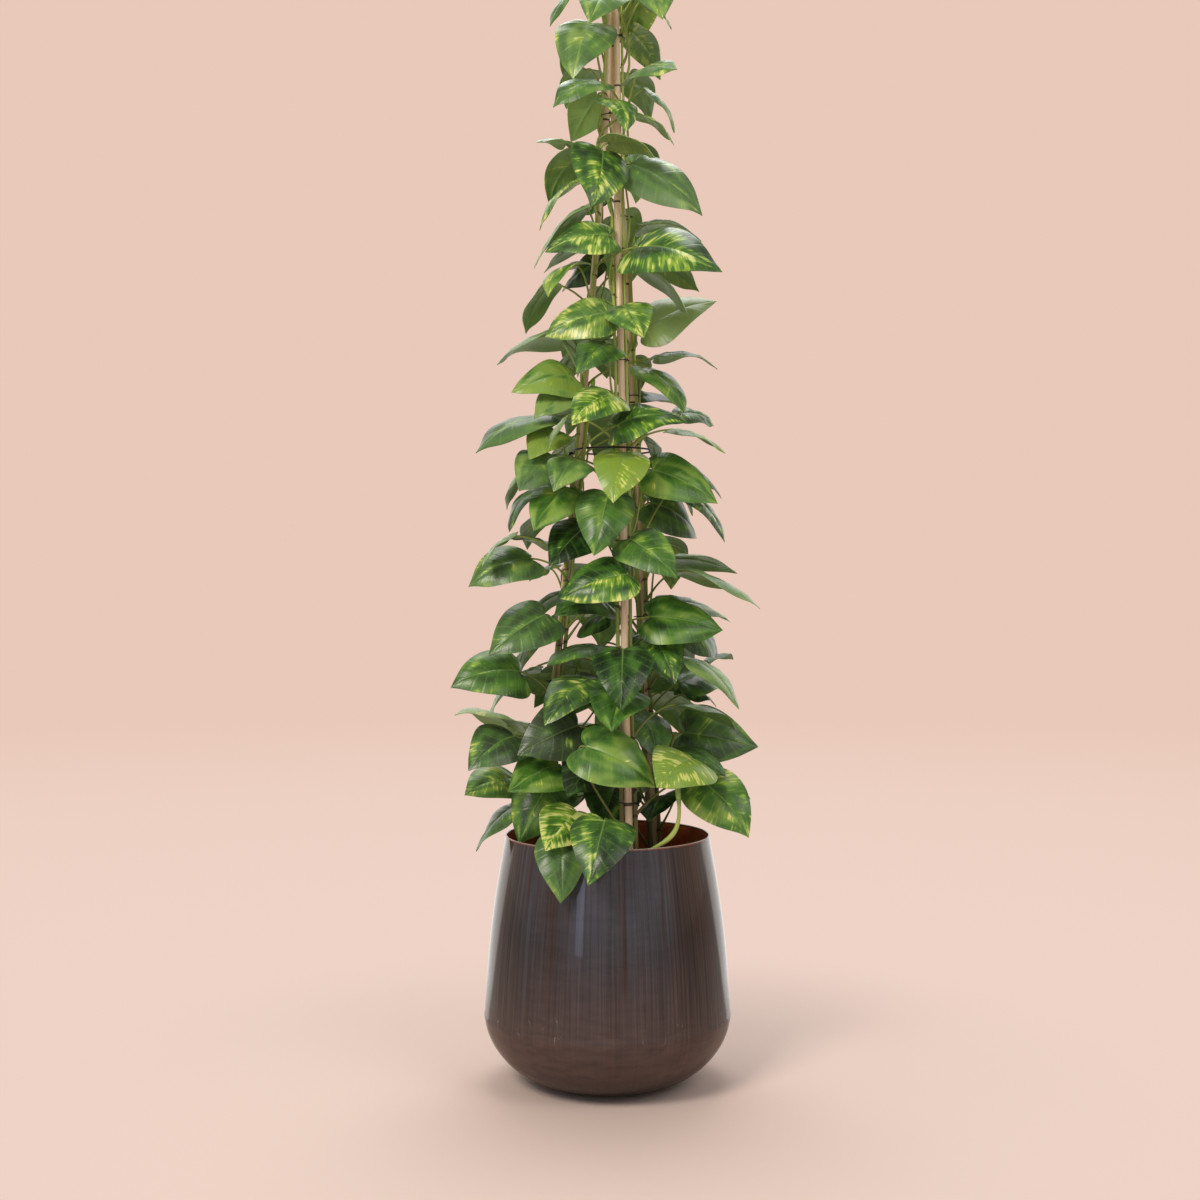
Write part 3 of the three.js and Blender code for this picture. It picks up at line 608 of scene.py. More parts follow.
heights = range(soil_level, cane_top, 5)
for cane, name in enumerate(cane_names):
    centres = [cane_centre(cane, z) for z in heights]
    occupy(centres, [cane_radius(z) + cane_margin for z in heights], name)
for vine in vines:
    below = [z for z in heights if z < vine.top]
    centres = [stem_centre(vine, z) for z in below]
    occupy(centres, [stem_radius(z) + stem_margin for z in below], vine.number)
occupy_ring(hoop_radius, [pyramid_shift(hoop_height), 0, hoop_height], hoop_wire + 2 * wire_margin)
for cane, z in ties:
    occupy_ring(tie_radius(z), cane_centre(cane, z), tie_wire + wire_margin)
for z in bundle_ties:
    occupy_ring(bundle_tie_radius(z), [pyramid_shift(z), 0, z], tie_wire + wire_margin)
print("balls of canes, stems and wires:", sum(len(group.points) for group in taken))

# %% [markdown]
# ## The blade of a leaf
#
# A pothos leaf is a heart with one side a little fuller than the other, a notch where the stalk
# joins, and a drawn-out tip. The outline is a smooth curve through a few points. A place on the
# blade has two numbers: u runs from the left margin through the midrib to the right margin, and v
# from the notch to the tip by the side veins, which leave the midrib and run forward to the margin.

# %% Blade outline and surface
half_outline = np.array(
    [[0, 0], [0.1, -0.1], [0.24, -0.13], [0.37, -0.04], [0.44, 0.12]]
    + [[0.43, 0.3], [0.35, 0.52], [0.22, 0.74], [0.09, 0.9], [0, 1]]
)
blade_arch = 0.2
margin_drop = 0.15
ripple_height = 0.02


def outline_at(v):
    place = np.asarray(v) * (len(half_outline) - 1)
    i = np.minimum(np.floor(place).astype(int), len(half_outline) - 2)
    t = (place - i)[..., None]
    a, b, c, d = [half_outline[np.clip(i + n, 0, len(half_outline) - 1)] for n in (-1, 0, 1, 2)]
    curve = b + 0.5 * t * (c - a + t * (2 * a - 5 * b + 4 * c - d + t * (3 * (b - c) + d - a)))
    return curve[..., 0], curve[..., 1]


def midrib_at(v):
    return np.clip((np.asarray(v) - 0.45) / 0.55, 0, 1) ** 1.2


def make_leaf(base, tip, facing, roll, **form):
    along = unit(tip - base)
    face = unit(facing - along * (facing @ along))
    turn = math.radians(roll)
    face = face * math.cos(turn) + np.cross(along, face) * math.sin(turn)
    across = np.cross(along, face)
    length = length_of(tip - base)
    return SimpleNamespace(base=base, along=along, face=face, across=across, length=length, **form)


def blade_point(leaf, u, v):
    side, ahead = outline_at(v)
    reach = np.abs(u)
    s = lerp(midrib_at(v), ahead, reach)
    arch = side * reach * (blade_arch * (1 - reach) - margin_drop * reach)
    ripple = ripple_height * reach * reach * np.sin(9 * v + leaf.wave + 2 * np.sign(u))
    lift = 4 * leaf.bend * s * (1 - s) + arch + ripple
    shares = np.stack([s, side * u * leaf.width, lift], axis=-1)
    return leaf.base + leaf.length * shares @ np.array([leaf.along, leaf.across, leaf.face])


sample_rows = 18
sample_columns = 14
rows, columns = np.meshgrid(
    np.arange(1, sample_rows + 1), np.arange(sample_columns + 1), indexing="ij"
)
sample_u = 2 * columns.ravel() / sample_columns - 1
sample_v = rows.ravel() / sample_rows
print("each blade is tested at", len(sample_u), "points")

# %% [markdown]
# ## The stalk of a leaf
#
# A stalk leaves its stem outwards, climbs and bends over into the notch of its blade, along a curve of
# four points whose inner two are shares of the span away. Each leaf takes the nearest stem with a free
# place below it from which a stalk reaches it without a touch.

# %% Leaf stalks
node_drops = (50, 70, 35, 90, 20, 110, 135)
node_spacing = 13
above_soil = 14
below_top = 9
stems_tried = 7
blade_gap = 6.0
out_share = 0.22
up_share = 0.3
along_share = 0.26
under_share = 0.1


def bezier(path, t):
    t = np.asarray(t)[..., None]
    k = 1 - t
    return k**3 * path[0] + 3 * k**2 * t * path[1] + 3 * k * t**2 * path[2] + t**3 * path[3]


def stalk_path(vine, node, leaf):
    start = stem_centre(vine, node)
    span = length_of(leaf.base - start)
    away = start - cane_centre(vine.cane, node)
    away[2] = 0
    leave = start + unit(away) * out_share * span + np.array([0, 0, up_share * span])
    arrive = leaf.base - leaf.along * along_share * span - leaf.face * under_share * span
    return [start, leave, arrive, leaf.base]


def stalk_samples(path):
    chords = np.diff(bezier(path, np.arange(201) / 200), axis=0)
    count = math.ceil(np.linalg.norm(chords, axis=1).sum() / sample_step) + 1
    points = [bezier(path, 0.03 + 0.97 * np.arange(count + 1) / count)]
    for near, far in ((0.5, 1), (0, 0.5)):
        a, b = bezier(path, near), bezier(path, far)
        steps = math.ceil(length_of(b - a) / sample_step)
        points.append(a + (b - a) * (np.arange(1, steps + 1) / steps)[:, None])
    return np.concatenate(points)


def crosses_own_blade(path, blade):
    points = bezier(path, 0.03 + 0.05 * np.arange(16))
    return bool((np.linalg.norm(points[:, None] - blade[None], axis=2) < blade_gap).any())


def find_stalk(leaf, blade):
    def away(vine):
        return length_of(stem_centre(vine, min(leaf.base[2], vine.top)) - leaf.base)

    for vine in sorted(vines, key=away)[:stems_tried]:
        for drop in node_drops:
            node = leaf.base[2] - drop
            if node < soil_level + above_soil or node > vine.top - below_top:
                continue
            if any(abs(other - node) < node_spacing for other in vine.nodes):
                continue
            path = stalk_path(vine, node, leaf)
            if crosses_own_blade(path, blade):
                continue
            samples = stalk_samples(path)
            if is_clear(samples, stalk_room, vine.number):
                return vine, node, path, samples
    return None


def place_leaf(leaf, look):
    blade = blade_point(leaf, sample_u, sample_v)
    found = is_clear(blade, blade_room) and find_stalk(leaf, blade)
    if not found:
        return False
    vine, node, leaf.path, samples = found
    occupy(blade, blade_room, "leaf")
    occupy(samples, stalk_room, "stalk")
    leaf.look = look
    vine.nodes.append(node)
    vine.leaves.append(leaf)
    return True


print("places tried for each stalk:", stems_tried * len(node_drops))

# %% [markdown]
# ## Leaves of the front
#
# Each front leaf is a line of numbers as read off the front elevation, in millimetres: where the
# stalk meets the blade and where the tip is (x, z), how far back the base lies, the turn of the blade
# about its midrib, and its length where it is unusual. The last three are its looks from 0 to 9: how
# much gold it carries, how bright its green is, which is partly its own green and partly painted
# shade where the leaf lies in shadow, and how much pale painted sheen of reflected light it shows.

# %% The front leaves as rows
front_leaves = [
    (25, 1512, 142, 1430, -15, 25, 140, 2, 4, 5),
    (0, 1265, -104, 1225, -60, 0, 0, 6, 5, 3),
    (-8, 1530, -25, 1436, -50, -25, 105, 4, 3, 1),
    (72, 762, 190, 737, -55, 0, 0, 0, 4, 0),
    (-50, 582, -150, 535, -60, -20, 0, 0, 1, 4),
    (105, 540, 197, 500, -15, 30, 0, 2, 3, 2),
    (25, 640, 5, 572, -90, 0, 0, 1, 4, 0),
    (58, 600, 90, 515, -75, 30, 0, 1, 3, 3),
    (0, 1212, -50, 1163, -60, 0, 85, 3, 4, 1),
    (5, 1545, 78, 1520, -45, 55, 85, 5, 8, 3),
    (25, 708, 22, 605, -118, 0, 0, 0, 2, 0),
    (0, 962, -20, 862, -95, 0, 0, 1, 4, 1),
    (28, 1032, 8, 950, -95, 0, 0, 5, 9, 0),
    (-35, 548, 80, 482, -112, 0, 0, 1, 5, 1),
    (140, 528, 78, 482, -105, 0, 0, 6, 8, 0),
    (-5, 425, -28, 318, -172, 0, 0, 3, 3, 1),
    (-50, 440, -105, 376, -150, 0, 0, 8, 5, 0),
    (-68, 388, -65, 282, -190, 0, 105, 1, 4, 3),
    (-92, 495, -147, 388, -95, 0, 0, 3, 4, 1),
    (75, 1005, 182, 950, -50, 0, 0, 2, 5, 0),
    (38, 890, 115, 825, -85, 0, 0, 2, 4, 1),
    (30, 832, -78, 790, -88, 0, 0, 5, 4, 0),
    (72, 735, 113, 650, -95, 0, 0, 3, 3, 0),
    (-105, 765, -195, 697, -40, 0, 0, 1, 3, 3),
    (-148, 672, -260, 648, -30, 0, 0, 2, 4, 1),
    (-155, 565, -230, 508, -55, 0, 0, 0, 2, 3),
    (-90, 525, -172, 478, -70, 0, 0, 1, 5, 0),
    (-5, 520, -58, 457, -80, 0, 0, 0, 1, 1),
    (158, 490, 236, 400, -75, 0, 0, 5, 5, 1),
    (112, 575, 232, 548, -25, 0, 0, 1, 3, 3),
    (-25, 652, -92, 575, -80, 20, 0, 4, 3, 2),
    (148, 690, 215, 610, -35, 45, 0, 2, 6, 6),
    (0, 710, -102, 682, -70, 40, 0, 0, 3, 2),
    (-165, 585, -252, 600, -20, 50, 0, 1, 7, 8),
    (-140, 487, -228, 462, -35, 10, 0, 5, 5, 3),
    (-150, 440, -208, 368, -35, 45, 95, 0, 3, 4),
    (15, 1078, 132, 1085, -75, 10, 0, 3, 3, 0),
    (15, 1122, -52, 1072, -80, 0, 0, 7, 5, 0),
    (-68, 975, -125, 905, -65, 0, 0, 1, 5, 0),
    (-35, 912, -95, 845, -35, 0, 0, 0, 1, 0),
    (128, 838, 252, 775, -10, 60, 150, 2, 5, 9),
    (-130, 858, -228, 810, -15, 10, 0, 2, 4, 4),
    (-165, 893, -205, 845, -20, 55, 75, 0, 5, 0),
    (-98, 882, -170, 893, -10, 50, 80, 0, 2, 2),
    (-95, 842, -127, 822, 40, 20, 70, 0, 5, 5),
    (75, 950, 147, 890, 20, 0, 0, 1, 3, 3),
    (-15, 792, -85, 762, -55, 0, 0, 0, 3, 1),
    (0, 770, -45, 735, 20, 0, 0, 0, 2, 0),
    (-95, 652, -152, 655, -5, 55, 75, 1, 5, 3),
    (-10, 637, -55, 605, 0, 0, 0, 0, 1, 0),
    (128, 742, 182, 703, 10, 0, 0, 1, 2, 2),
    (120, 655, 182, 650, 30, 20, 0, 0, 3, 2),
    (130, 636, 178, 615, 15, 40, 70, 0, 2, 1),
    (165, 690, 209, 692, 50, 55, 60, 0, 3, 3),
    (12, 482, -10, 402, -60, 0, 0, 0, 2, 1),
    (98, 478, 62, 432, -20, 45, 0, 0, 2, 0),
    (42, 1130, 110, 1113, 15, 30, 0, 0, 1, 1),
    (122, 1098, 176, 1076, 20, 20, 70, 1, 3, 5),
    (-95, 1092, -215, 1032, -5, 35, 145, 1, 4, 4),
    (-88, 1070, -128, 1021, -32, 0, 85, 1, 8, 1),
    (-82, 1094, -105, 1045, -65, 60, 65, 1, 6, 8),
    (-92, 1028, -147, 970, -20, 0, 0, 1, 4, 5),
    (-62, 1028, -98, 975, -50, 0, 90, 2, 5, 3),
    (60, 1062, 75, 1020, 30, 20, 80, 1, 3, 5),
    (-115, 975, -160, 903, -10, 45, 95, 0, 2, 2),
    (55, 1178, 120, 1105, -20, 35, 0, 1, 5, 2),
    (-62, 1160, -157, 1130, -45, 0, 0, 1, 7, 1),
    (-62, 1128, -120, 1088, -40, 10, 85, 1, 7, 4),
    (-68, 1215, -50, 1158, -30, 60, 65, 2, 7, 7),
    (-68, 1226, -182, 1178, -25, 60, 130, 1, 5, 7),
    (15, 1282, 48, 1228, -70, 0, 90, 5, 5, 1),
    (62, 1238, 180, 1283, 45, 10, 0, 1, 9, 9),
    (48, 1342, 133, 1260, -10, 60, 125, 1, 5, 3),
    (50, 1372, 187, 1328, -60, 0, 150, 4, 3, 1),
    (10, 1385, -94, 1356, -55, 0, 0, 5, 4, 2),
    (-15, 1348, -75, 1300, 15, 0, 90, 1, 1, 2),
    (-32, 1428, -112, 1330, -15, 62, 130, 1, 6, 4),
    (-5, 1452, -45, 1420, 25, 0, 75, 1, 2, 2),
    (50, 1590, 110, 1540, -20, 50, 80, 4, 7, 4),
    (20, 1608, 42, 1555, -45, 20, 70, 5, 5, 1),
    (-70, 1543, -118, 1545, -10, 35, 60, 2, 4, 2),
    (-15, 1645, -88, 1602, -25, 15, 90, 2, 4, 3),
    (50, 1658, 112, 1664, -45, 0, 105, 4, 4, 4),
    (-28, 1740, -60, 1650, -30, 0, 105, 3, 5, 4),
    (50, 1790, 42, 1702, 30, 0, 105, 2, 6, 2),
    (45, 1782, 90, 1735, 10, 60, 75, 5, 8, 3),
    (-10, 1800, -38, 1748, -25, 0, 80, 3, 5, 4),
    (62, 1812, 80, 1754, -15, 0, 80, 3, 5, 4),
    (-20, 1868, -72, 1830, -20, 10, 85, 2, 4, 3),
    (28, 1885, 68, 1838, -25, 0, 85, 2, 4, 3),
]
print("front leaves:", len(front_leaves))

# %% [markdown]
# ### Making room for them
#
# The solids were laid out by the same draws and tries, so both have the same leaves. A leaf that
# touches another is tried further back or forward, and then a little aside, higher or turned.

# %% Place the front leaves
view_axis = -12
draw_state = 20110
draw_factor = 16807
draw_range = 2147483647
depth_shifts = [0, 9, -9, 18, -18, 28, -28, 40, 54, 70]
other_shifts = [(0, 0, 0), (9, -7, 0), (-9, 7, 0), (0, 0, 25), (0, 0, -25), (-12, -12, 12)]
other_shifts += [(12, 12, -12), (16, -4, 20), (-16, 4, -20), (3, 18, 15), (-3, -18, -15)]


def draw():
    global draw_state
    draw_state = draw_state * draw_factor % draw_range
    return draw_state / draw_range


def usual_length(z):
    return lerp(122, 92, clamp01((z - 450) / 1300))


def from_elevation(x, z, y):
    scale = (camera_distance + y) / camera_distance
    right = view_axis + (x - view_axis) * scale
    return np.array([right, y, camera_height + (z - camera_height) * scale])


def place_front_leaf(row):
    base_x, base_z, tip_x, tip_z, base_y, roll, own_length, *look = row
    length = (own_length or usual_length(base_z)) * lerp(0.96, 1.04, draw())
    scale = (camera_distance + base_y) / camera_distance
    shown = math.hypot(tip_x - base_x, tip_z - base_z) * scale
    deep = math.sqrt(max(0, length**2 - shown**2)) * (1 if base_y > 0 else -1)
    flatter = (base_x > tip_x) - (base_x < tip_x)
    form = {
        "width": lerp(0.92, 1.04, draw()),
        "bend": lerp(0.08, 0.16, draw()),
        "wave": 6.28 * draw(),
    }
    for right, higher, turn in other_shifts:
        for shift in depth_shifts:
            base = from_elevation(base_x + right, base_z + higher, base_y + shift)
            tip = from_elevation(tip_x + right, tip_z + higher, base_y + shift + deep)
            leaf = make_leaf(base, tip, np.array([0, -0.8, 0.6]), flatter * roll + turn, **form)
            if place_leaf(leaf, [value / 9 for value in look]):
                return True
    return False


placed = [place_front_leaf(row) for row in front_leaves]
print("front leaves that found room:", sum(placed))

# %% [markdown]
# ## Leaves of the sides and the back
#
# The photograph doesn't show these, so they are scattered round the pyramid by repeatable draws: each
# try is kept only if its blade and its stalk clear all that is there. Like the shown ones they droop
# outwards, reach furthest near the pot and are smaller towards the top.

# %% Place the leaves of the sides and the back
back_leaf_count = 68
most_tries = 1500


def foliage_reach(z):
    return lerp(245, 105, clamp01((z - 560) / 1250)) - 45 * clamp01((520 - z) / 110)


def try_back_leaf():
    z = lerp(440, 1870, draw())
    angle = math.radians(lerp(-18, 198, draw()))
    heading = angle + math.radians(lerp(-45, 45, draw()))
    length = usual_length(z) * lerp(0.85, 1.12, draw())
    droop = math.radians(lerp(10, 60, draw()))
    inward = draw() ** 2
    roll = lerp(-25, 25, draw())
    width = lerp(0.9, 1.04, draw())
    bend = lerp(0.08, 0.2, draw())
    wave = 6.28 * draw()
    outward = level_heading(angle)
    reach = max(30, foliage_reach(z) - length * math.cos(droop) - 70 * inward)
    base = outward * reach + [pyramid_shift(z), 0, z]
    fall = np.array([0, 0, length * math.sin(droop)])
    tip = base + level_heading(heading) * length * math.cos(droop) - fall
    facing = outward * 0.6 + [0, 0, 1]
    leaf = make_leaf(base, tip, facing, roll, width=width, bend=bend, wave=wave)
    gold = 0.75 * ((wave * 7.3) % 1) ** 1.5
    tone = 0.2 + 0.55 * ((wave * 3.7 + roll) % 1)
    # The sheen amount is a painted sheen of reflected light.
    sheen_amount = 0.3 * ((wave * 5.1) % 1)
    return place_leaf(leaf, [gold, tone, sheen_amount])


back_leaves = 0
tries = 0
while tries < most_tries and back_leaves < back_leaf_count:
    back_leaves += try_back_leaf()
    tries += 1
print("leaves behind:", back_leaves, "after", tries, "tries")
print("all leaves:", sum(len(vine.leaves) for vine in vines))

# %% [markdown]
# A young shoot rises from the soil by the front rim and bends up to the right, with its newest leaf
# still rolled. It is thicker and paler than a stalk. It needs only one curve of four points.

# %% The young shoot
shoot_points = [(18, -92, 335), (40, -132, 420), (120, -132, 385), (112, -112, 470)]
shoot = [np.array(point) for point in shoot_points]
print("young shoot is clear:", is_clear(bezier(shoot, np.arange(6, 21) / 20), 4.5))

# %% [markdown]
# ## Blades with a real thickness
#
# Each blade starts as a flat grid whose columns crowd towards the midrib. Its points are moved on to
# the leaf's surface, with a crease along the midrib and soft quilting between the side veins, and
# the points that fall together at the notch and the tip are merged. The sheet is then extruded into
# a thin skin that is 0.9 mm thick, and the underside gets the round rib that carries the blade on.

# %% Blade maker
blade_columns = 18
blade_rows = 26
column_crowding = 1.8
half_skin = 0.45
rib_depth = 0.9
rib_width = 1.2


def new_blade_mesh():
    bm = bmesh.new()
    for name in ("looks", "out"):
        bm.verts.layers.float_vector.new(name)
    for name in ("seed", "under", "rib"):
        bm.verts.layers.float.new(name)
    bm.loops.layers.uv.new("blade")
    return bm


def add_blade(bm, surface, half_width, look, seed):
    sheet = new_blade_mesh()
    vectors = sheet.verts.layers.float_vector
    numbers = sheet.verts.layers.float
    bmesh.ops.create_grid(
        sheet, x_segments=blade_columns, y_segments=blade_rows, size=1, calc_uvs=True
    )
    grid = np.array([vert.co for vert in sheet.verts])
    u = np.sign(grid[:, 0]) * np.abs(grid[:, 0]) ** column_crowding
    v = (grid[:, 1] + 1) / 2
    aside = outline_at(v)[0] * np.abs(u) * half_width
    ribs = half_skin + rib_depth * (1 - 0.7 * v) * np.exp(-((aside / rib_width) ** 2))
    for vert, point, depth in zip(sheet.verts, surface(u, v) / 1000, ribs):
        vert.co = point
        vert[numbers["rib"]] = depth
        vert[vectors["looks"]] = look
        vert[numbers["seed"]] = seed
    bmesh.ops.remove_doubles(sheet, verts=sheet.verts, dist=2e-5)
    sheet.normal_update()
    for vert in sheet.verts:
        vert[vectors["out"]] = vert.normal
    lower = list(sheet.verts)
    grown = bmesh.ops.extrude_face_region(sheet, geom=sheet.faces[:], use_keep_orig=True)
    for vert in grown["geom"]:
        if isinstance(vert, bmesh.types.BMVert):
            vert.co += vert[vectors["out"]] * (half_skin / 1000)
    for vert in lower:
        vert.co -= vert[vectors["out"]] * vert[numbers["rib"]] / 1000
        vert[numbers["under"]] = 1
    bmesh.ops.recalc_face_normals(sheet, faces=sheet.faces)
    mesh = bpy.data.meshes.new("sheet")
    sheet.to_mesh(mesh)
    sheet.free()
    bm.from_mesh(mesh)
    bpy.data.meshes.remove(mesh)


print("faces in the grid of a blade:", blade_columns * blade_rows)

# %% The leaf's surface
side_difference = 0.05
quilt_height = 0.8
quilt_count = 7
blade_twist = 0.13
wave_height = 2.2
crease_depth = 0.7
crease_width = 2.2
tip_hook = 0.035


def leaf_surface(leaf):
    def surface(u, v):
        uneven = 1 + side_difference * math.sin(leaf.wave) * np.sign(u)
        side, ahead = outline_at(v)
        aside = side * np.abs(u) * leaf.length
        s = lerp(midrib_at(v), ahead, np.abs(u))
        broad = np.clip(side / 0.16, 0, 1)
        quilt = quilt_height * np.sin(2 * math.pi * quilt_count * v + leaf.wave)
        quilt = quilt * 4 * np.abs(u) * (1 - np.abs(u)) * broad
        twist = blade_twist * math.sin(2.3 * leaf.wave) * aside * np.sign(u) * s
        margin = np.sin(15 * v + 2 * leaf.wave + 1.7 * np.sign(u))
        flat = (broad - 1) * ripple_height * leaf.length * np.sin(9 * v + leaf.wave + 2 * np.sign(u))
        wavy = u * u * (wave_height * margin * broad + flat)
        crease = -crease_depth * np.exp(-((aside / crease_width) ** 2)) * np.clip(4 * s, 0, 1) * (1 - s)
        hook = tip_hook * leaf.length * math.sin(3 * leaf.wave) * np.clip((s - 0.75) / 0.25, 0, 1) ** 2
        lifted = blade_point(leaf, u * uneven / np.maximum(1, uneven), v)
        relief = quilt + crease + twist + wavy
        return lifted + relief[:, None] * leaf.face + hook[:, None] * leaf.across

    return surface


print("a leaf is creased by", crease_depth, "mm and quilted by", quilt_height, "mm")

# %% [markdown]
# ## Stems and stalks
#
# A stem is a round green tube with a ring-shaped scar and a slight swelling wherever a leaf stalk
# leaves it, and short brown air roots grip the cane there. A curve object with a bevel would make the
# tubes too, but extruding a circle from station to station gives each ring its own radius. Each
# point remembers its way round the tube, its length along it and how old and brown it is there.


# %% Tube maker
def new_tube_mesh():
    bm = bmesh.new()
    bm.verts.layers.float_vector.new("grain")
    bm.verts.layers.float.new("age")
    return bm


def add_tube(bm, points, radii, sides, ages):
    grain = bm.verts.layers.float_vector["grain"]
    age = bm.verts.layers.float["age"]
    points = [Vector(point) / 1000 for point in points]
    side = Vector((1, 0.3, 0))
    stations = []
    for i, point in enumerate(points):
        along = (points[min(i + 1, len(points) - 1)] - points[max(i - 1, 0)]).normalized()
        side = (side - along * side.dot(along)).normalized()
        turned = Matrix((side, along.cross(side), along)).transposed().to_4x4()
        stations.append(Matrix.Translation(point) @ turned @ Matrix.Scale(radii[i] / 1000, 4))
    ring = bmesh.ops.create_circle(bm, segments=sides, radius=1, matrix=stations[0])["verts"]
    for i, vert in enumerate(ring):
        turn = 2 * math.pi * i / sides
        vert[grain] = (math.cos(turn), math.sin(turn), 0)
        vert[age] = ages[0]
    edges = list({edge for vert in ring for edge in vert.link_edges})
    first = edges
    length = 0
    for i in range(1, len(points)):
        length += (points[i] - points[i - 1]).length
        grown = bmesh.ops.extrude_edge_only(bm, edges=edges)["geom"]
        ring = [item for item in grown if isinstance(item, bmesh.types.BMVert)]
        edges = [item for item in grown if isinstance(item, bmesh.types.BMEdge)]
        bmesh.ops.transform(bm, matrix=stations[i] @ stations[i - 1].inverted(), verts=ring)
        for vert in ring:
            vert[grain] = (vert[grain][0], vert[grain][1], length)
            vert[age] = ages[i]
    bmesh.ops.edgeloop_fill(bm, edges=first)
    return bmesh.ops.edgeloop_fill(bm, edges=edges)["faces"][0]


test_tube = new_tube_mesh()
add_tube(test_tube, [(0, 0, 0), (0, 0, 5), (0, 2, 9)], [1, 1, 1], 8, [0, 0, 0])
print("a tube with three stations has", len(test_tube.faces), "faces")
test_tube.free()

# %% Stems, stalks and air roots of a vine
stem_spacing = 14
stem_burial = 40
scar_offsets = (-6, -2.4, -1, 0.6, 2.6, 7)
scar_swelling = 0.24
scar_width = 3
stalk_foot_radius = 1.9
stalk_radius = 1.45
sheath_swelling = 0.9
knee_swelling = 0.45
knee_place = 0.93
stalk_stations = [0, 0.03, 0.07, 0.12, 0.2, 0.3, 0.4, 0.5, 0.6, 0.7, 0.8, 0.87, 0.91, 0.95, 0.98, 1]
root_radii = [1.3, 1.1, 0.9, 0.45]


def add_stem(bm, vine):
    heights = set(range(soil_level - stem_burial, vine.top, stem_spacing))
    for node in vine.nodes:
        heights -= {z for z in heights if abs(z - node) < 8}
        heights |= {node + offset for offset in scar_offsets}
    heights = sorted(heights) + [vine.top]
    near = [min([abs(z - node) for node in vine.nodes] + [99]) for z in heights]
    swellings = [1 + scar_swelling * math.exp(-((gap / scar_width) ** 2)) for gap in near]
    radii = [stem_radius(z) * swelling for z, swelling in zip(heights, swellings)]
    radii[-1] *= 0.6
    ages = [clamp01((1100 - z) / 1000) * 0.7 + 0.5 * (gap < 1.5) for z, gap in zip(heights, near)]
    add_tube(bm, [stem_centre(vine, z) for z in heights], radii, 10, ages)


def add_stalk(bm, leaf, old):
    stations = np.array(stalk_stations)
    points = bezier(leaf.path, stations) - np.outer(stations**9, leaf.face) * 0.9
    knee = np.exp(-(((stations - knee_place) / 0.045) ** 2))
    sheath = np.exp(-((stations / 0.16) ** 2))
    radii = lerp(stalk_foot_radius, stalk_radius, stations) + sheath_swelling * sheath
    radii += knee_swelling * knee
    radii[-1] = 1.0
    add_tube(bm, points, radii, 8, 0.15 + 0.5 * old * (1 - stations) + 0.15 * knee)


def add_root(bm, vine, node, turn):
    start = stem_centre(vine, node - 1)
    inward = unit((cane_centre(vine.cane, node) - start) * [1, 1, 0])
    sideways = sideways_of(inward) * turn
    reach = stem_radius(node)
    points = [
        start,
        start + sideways * (reach + 1.5),
        start + sideways * (reach + 2.6) + inward * 2.5 - [0, 0, 2],
        start + sideways * (reach + 2.2) + inward * 5.5 - [0, 0, 5],
    ]
    add_tube(bm, points, root_radii, 6, [1] * len(points))


print("a stalk has", len(stalk_stations), "rings, and a scar", len(scar_offsets))

# %% Rolled leaves, the young shoot, then a whole vine
roll_core = 0.9
roll_fullness = 2.6
roll_opening = 0.28
roll_turns = 1.7
spear_girth = 20
shoot_girth = 22
shoot_spear_length = 52


def rolled_leaf(foot, lean, length, turn):
    turned = np.array([math.sin(turn), math.cos(turn), 0])
    along = unit(lean)
    first = unit(np.cross(along, turned))
    second = np.cross(along, first)

    def surface(u, v):
        fullness = roll_fullness * np.sin(math.pi * np.clip(0.1 + 0.9 * v, 0, 1)) ** 0.8
        radius = (roll_core + fullness) * (1 + roll_opening * u)
        radius = radius * np.clip((1 - v) * 8, 0.02, 1)
        angle = u * roll_turns * math.pi
        circle = np.cos(angle)[:, None] * first + np.sin(angle)[:, None] * second
        return foot + np.outer(v * length, along) + radius[:, None] * circle

    return surface


def add_shoot(wood, blades):
    stations = np.linspace(0, 1, 22)
    radii = 3.3 - 0.5 * stations + 1.2 * np.exp(-(((stations - 0.7) / 0.16) ** 2))
    add_tube(wood, bezier(shoot, stations), radii, 12, 0.1 - 0.35 * stations)
    tip = shoot[3] - unit(shoot[3] - shoot[2]) * 6
    spear = rolled_leaf(tip, shoot[3] - shoot[2], shoot_spear_length, 1.2)
    add_blade(blades, spear, shoot_girth, (0.3, 0.85, 0.5), 0.77)


def grow(vine):
    blades = new_blade_mesh()
    wood = new_tube_mesh()
    add_stem(wood, vine)
    for i, (leaf, node) in enumerate(zip(vine.leaves, vine.nodes)):
        seed = vine.number + i / 40
        add_blade(blades, leaf_surface(leaf), leaf.length * leaf.width, leaf.look, seed)
        add_stalk(wood, leaf, clamp01((1000 - node) / 800))
        add_root(wood, vine, node, 1 if i % 2 else -1)
    foot = stem_centre(vine, vine.top - 4)
    lean = unit((foot - cane_centre(vine.cane, vine.top)) * [1, 1, 0]) * 0.22 + [0, 0, 1]
    spear = rolled_leaf(foot, lean, 44 + 5 * (vine.number % 4), vine.number)
    add_blade(blades, spear, spear_girth, (0.2, 0.8, 0.2), vine.number + 0.97)
    if vine.number == 0:
        add_shoot(wood, blades)
    bmesh.ops.recalc_face_normals(wood, faces=wood.faces)
    number = vine.number + 1
    finish_piece(f"leaves_{number}", blades, [leaf_skin], f"vine_{number}", 50)
    finish_piece(f"stems_{number}", wood, [stem_skin], f"vine_{number}", 60)


print("leaves on each vine:", [len(vine.leaves) for vine in vines])

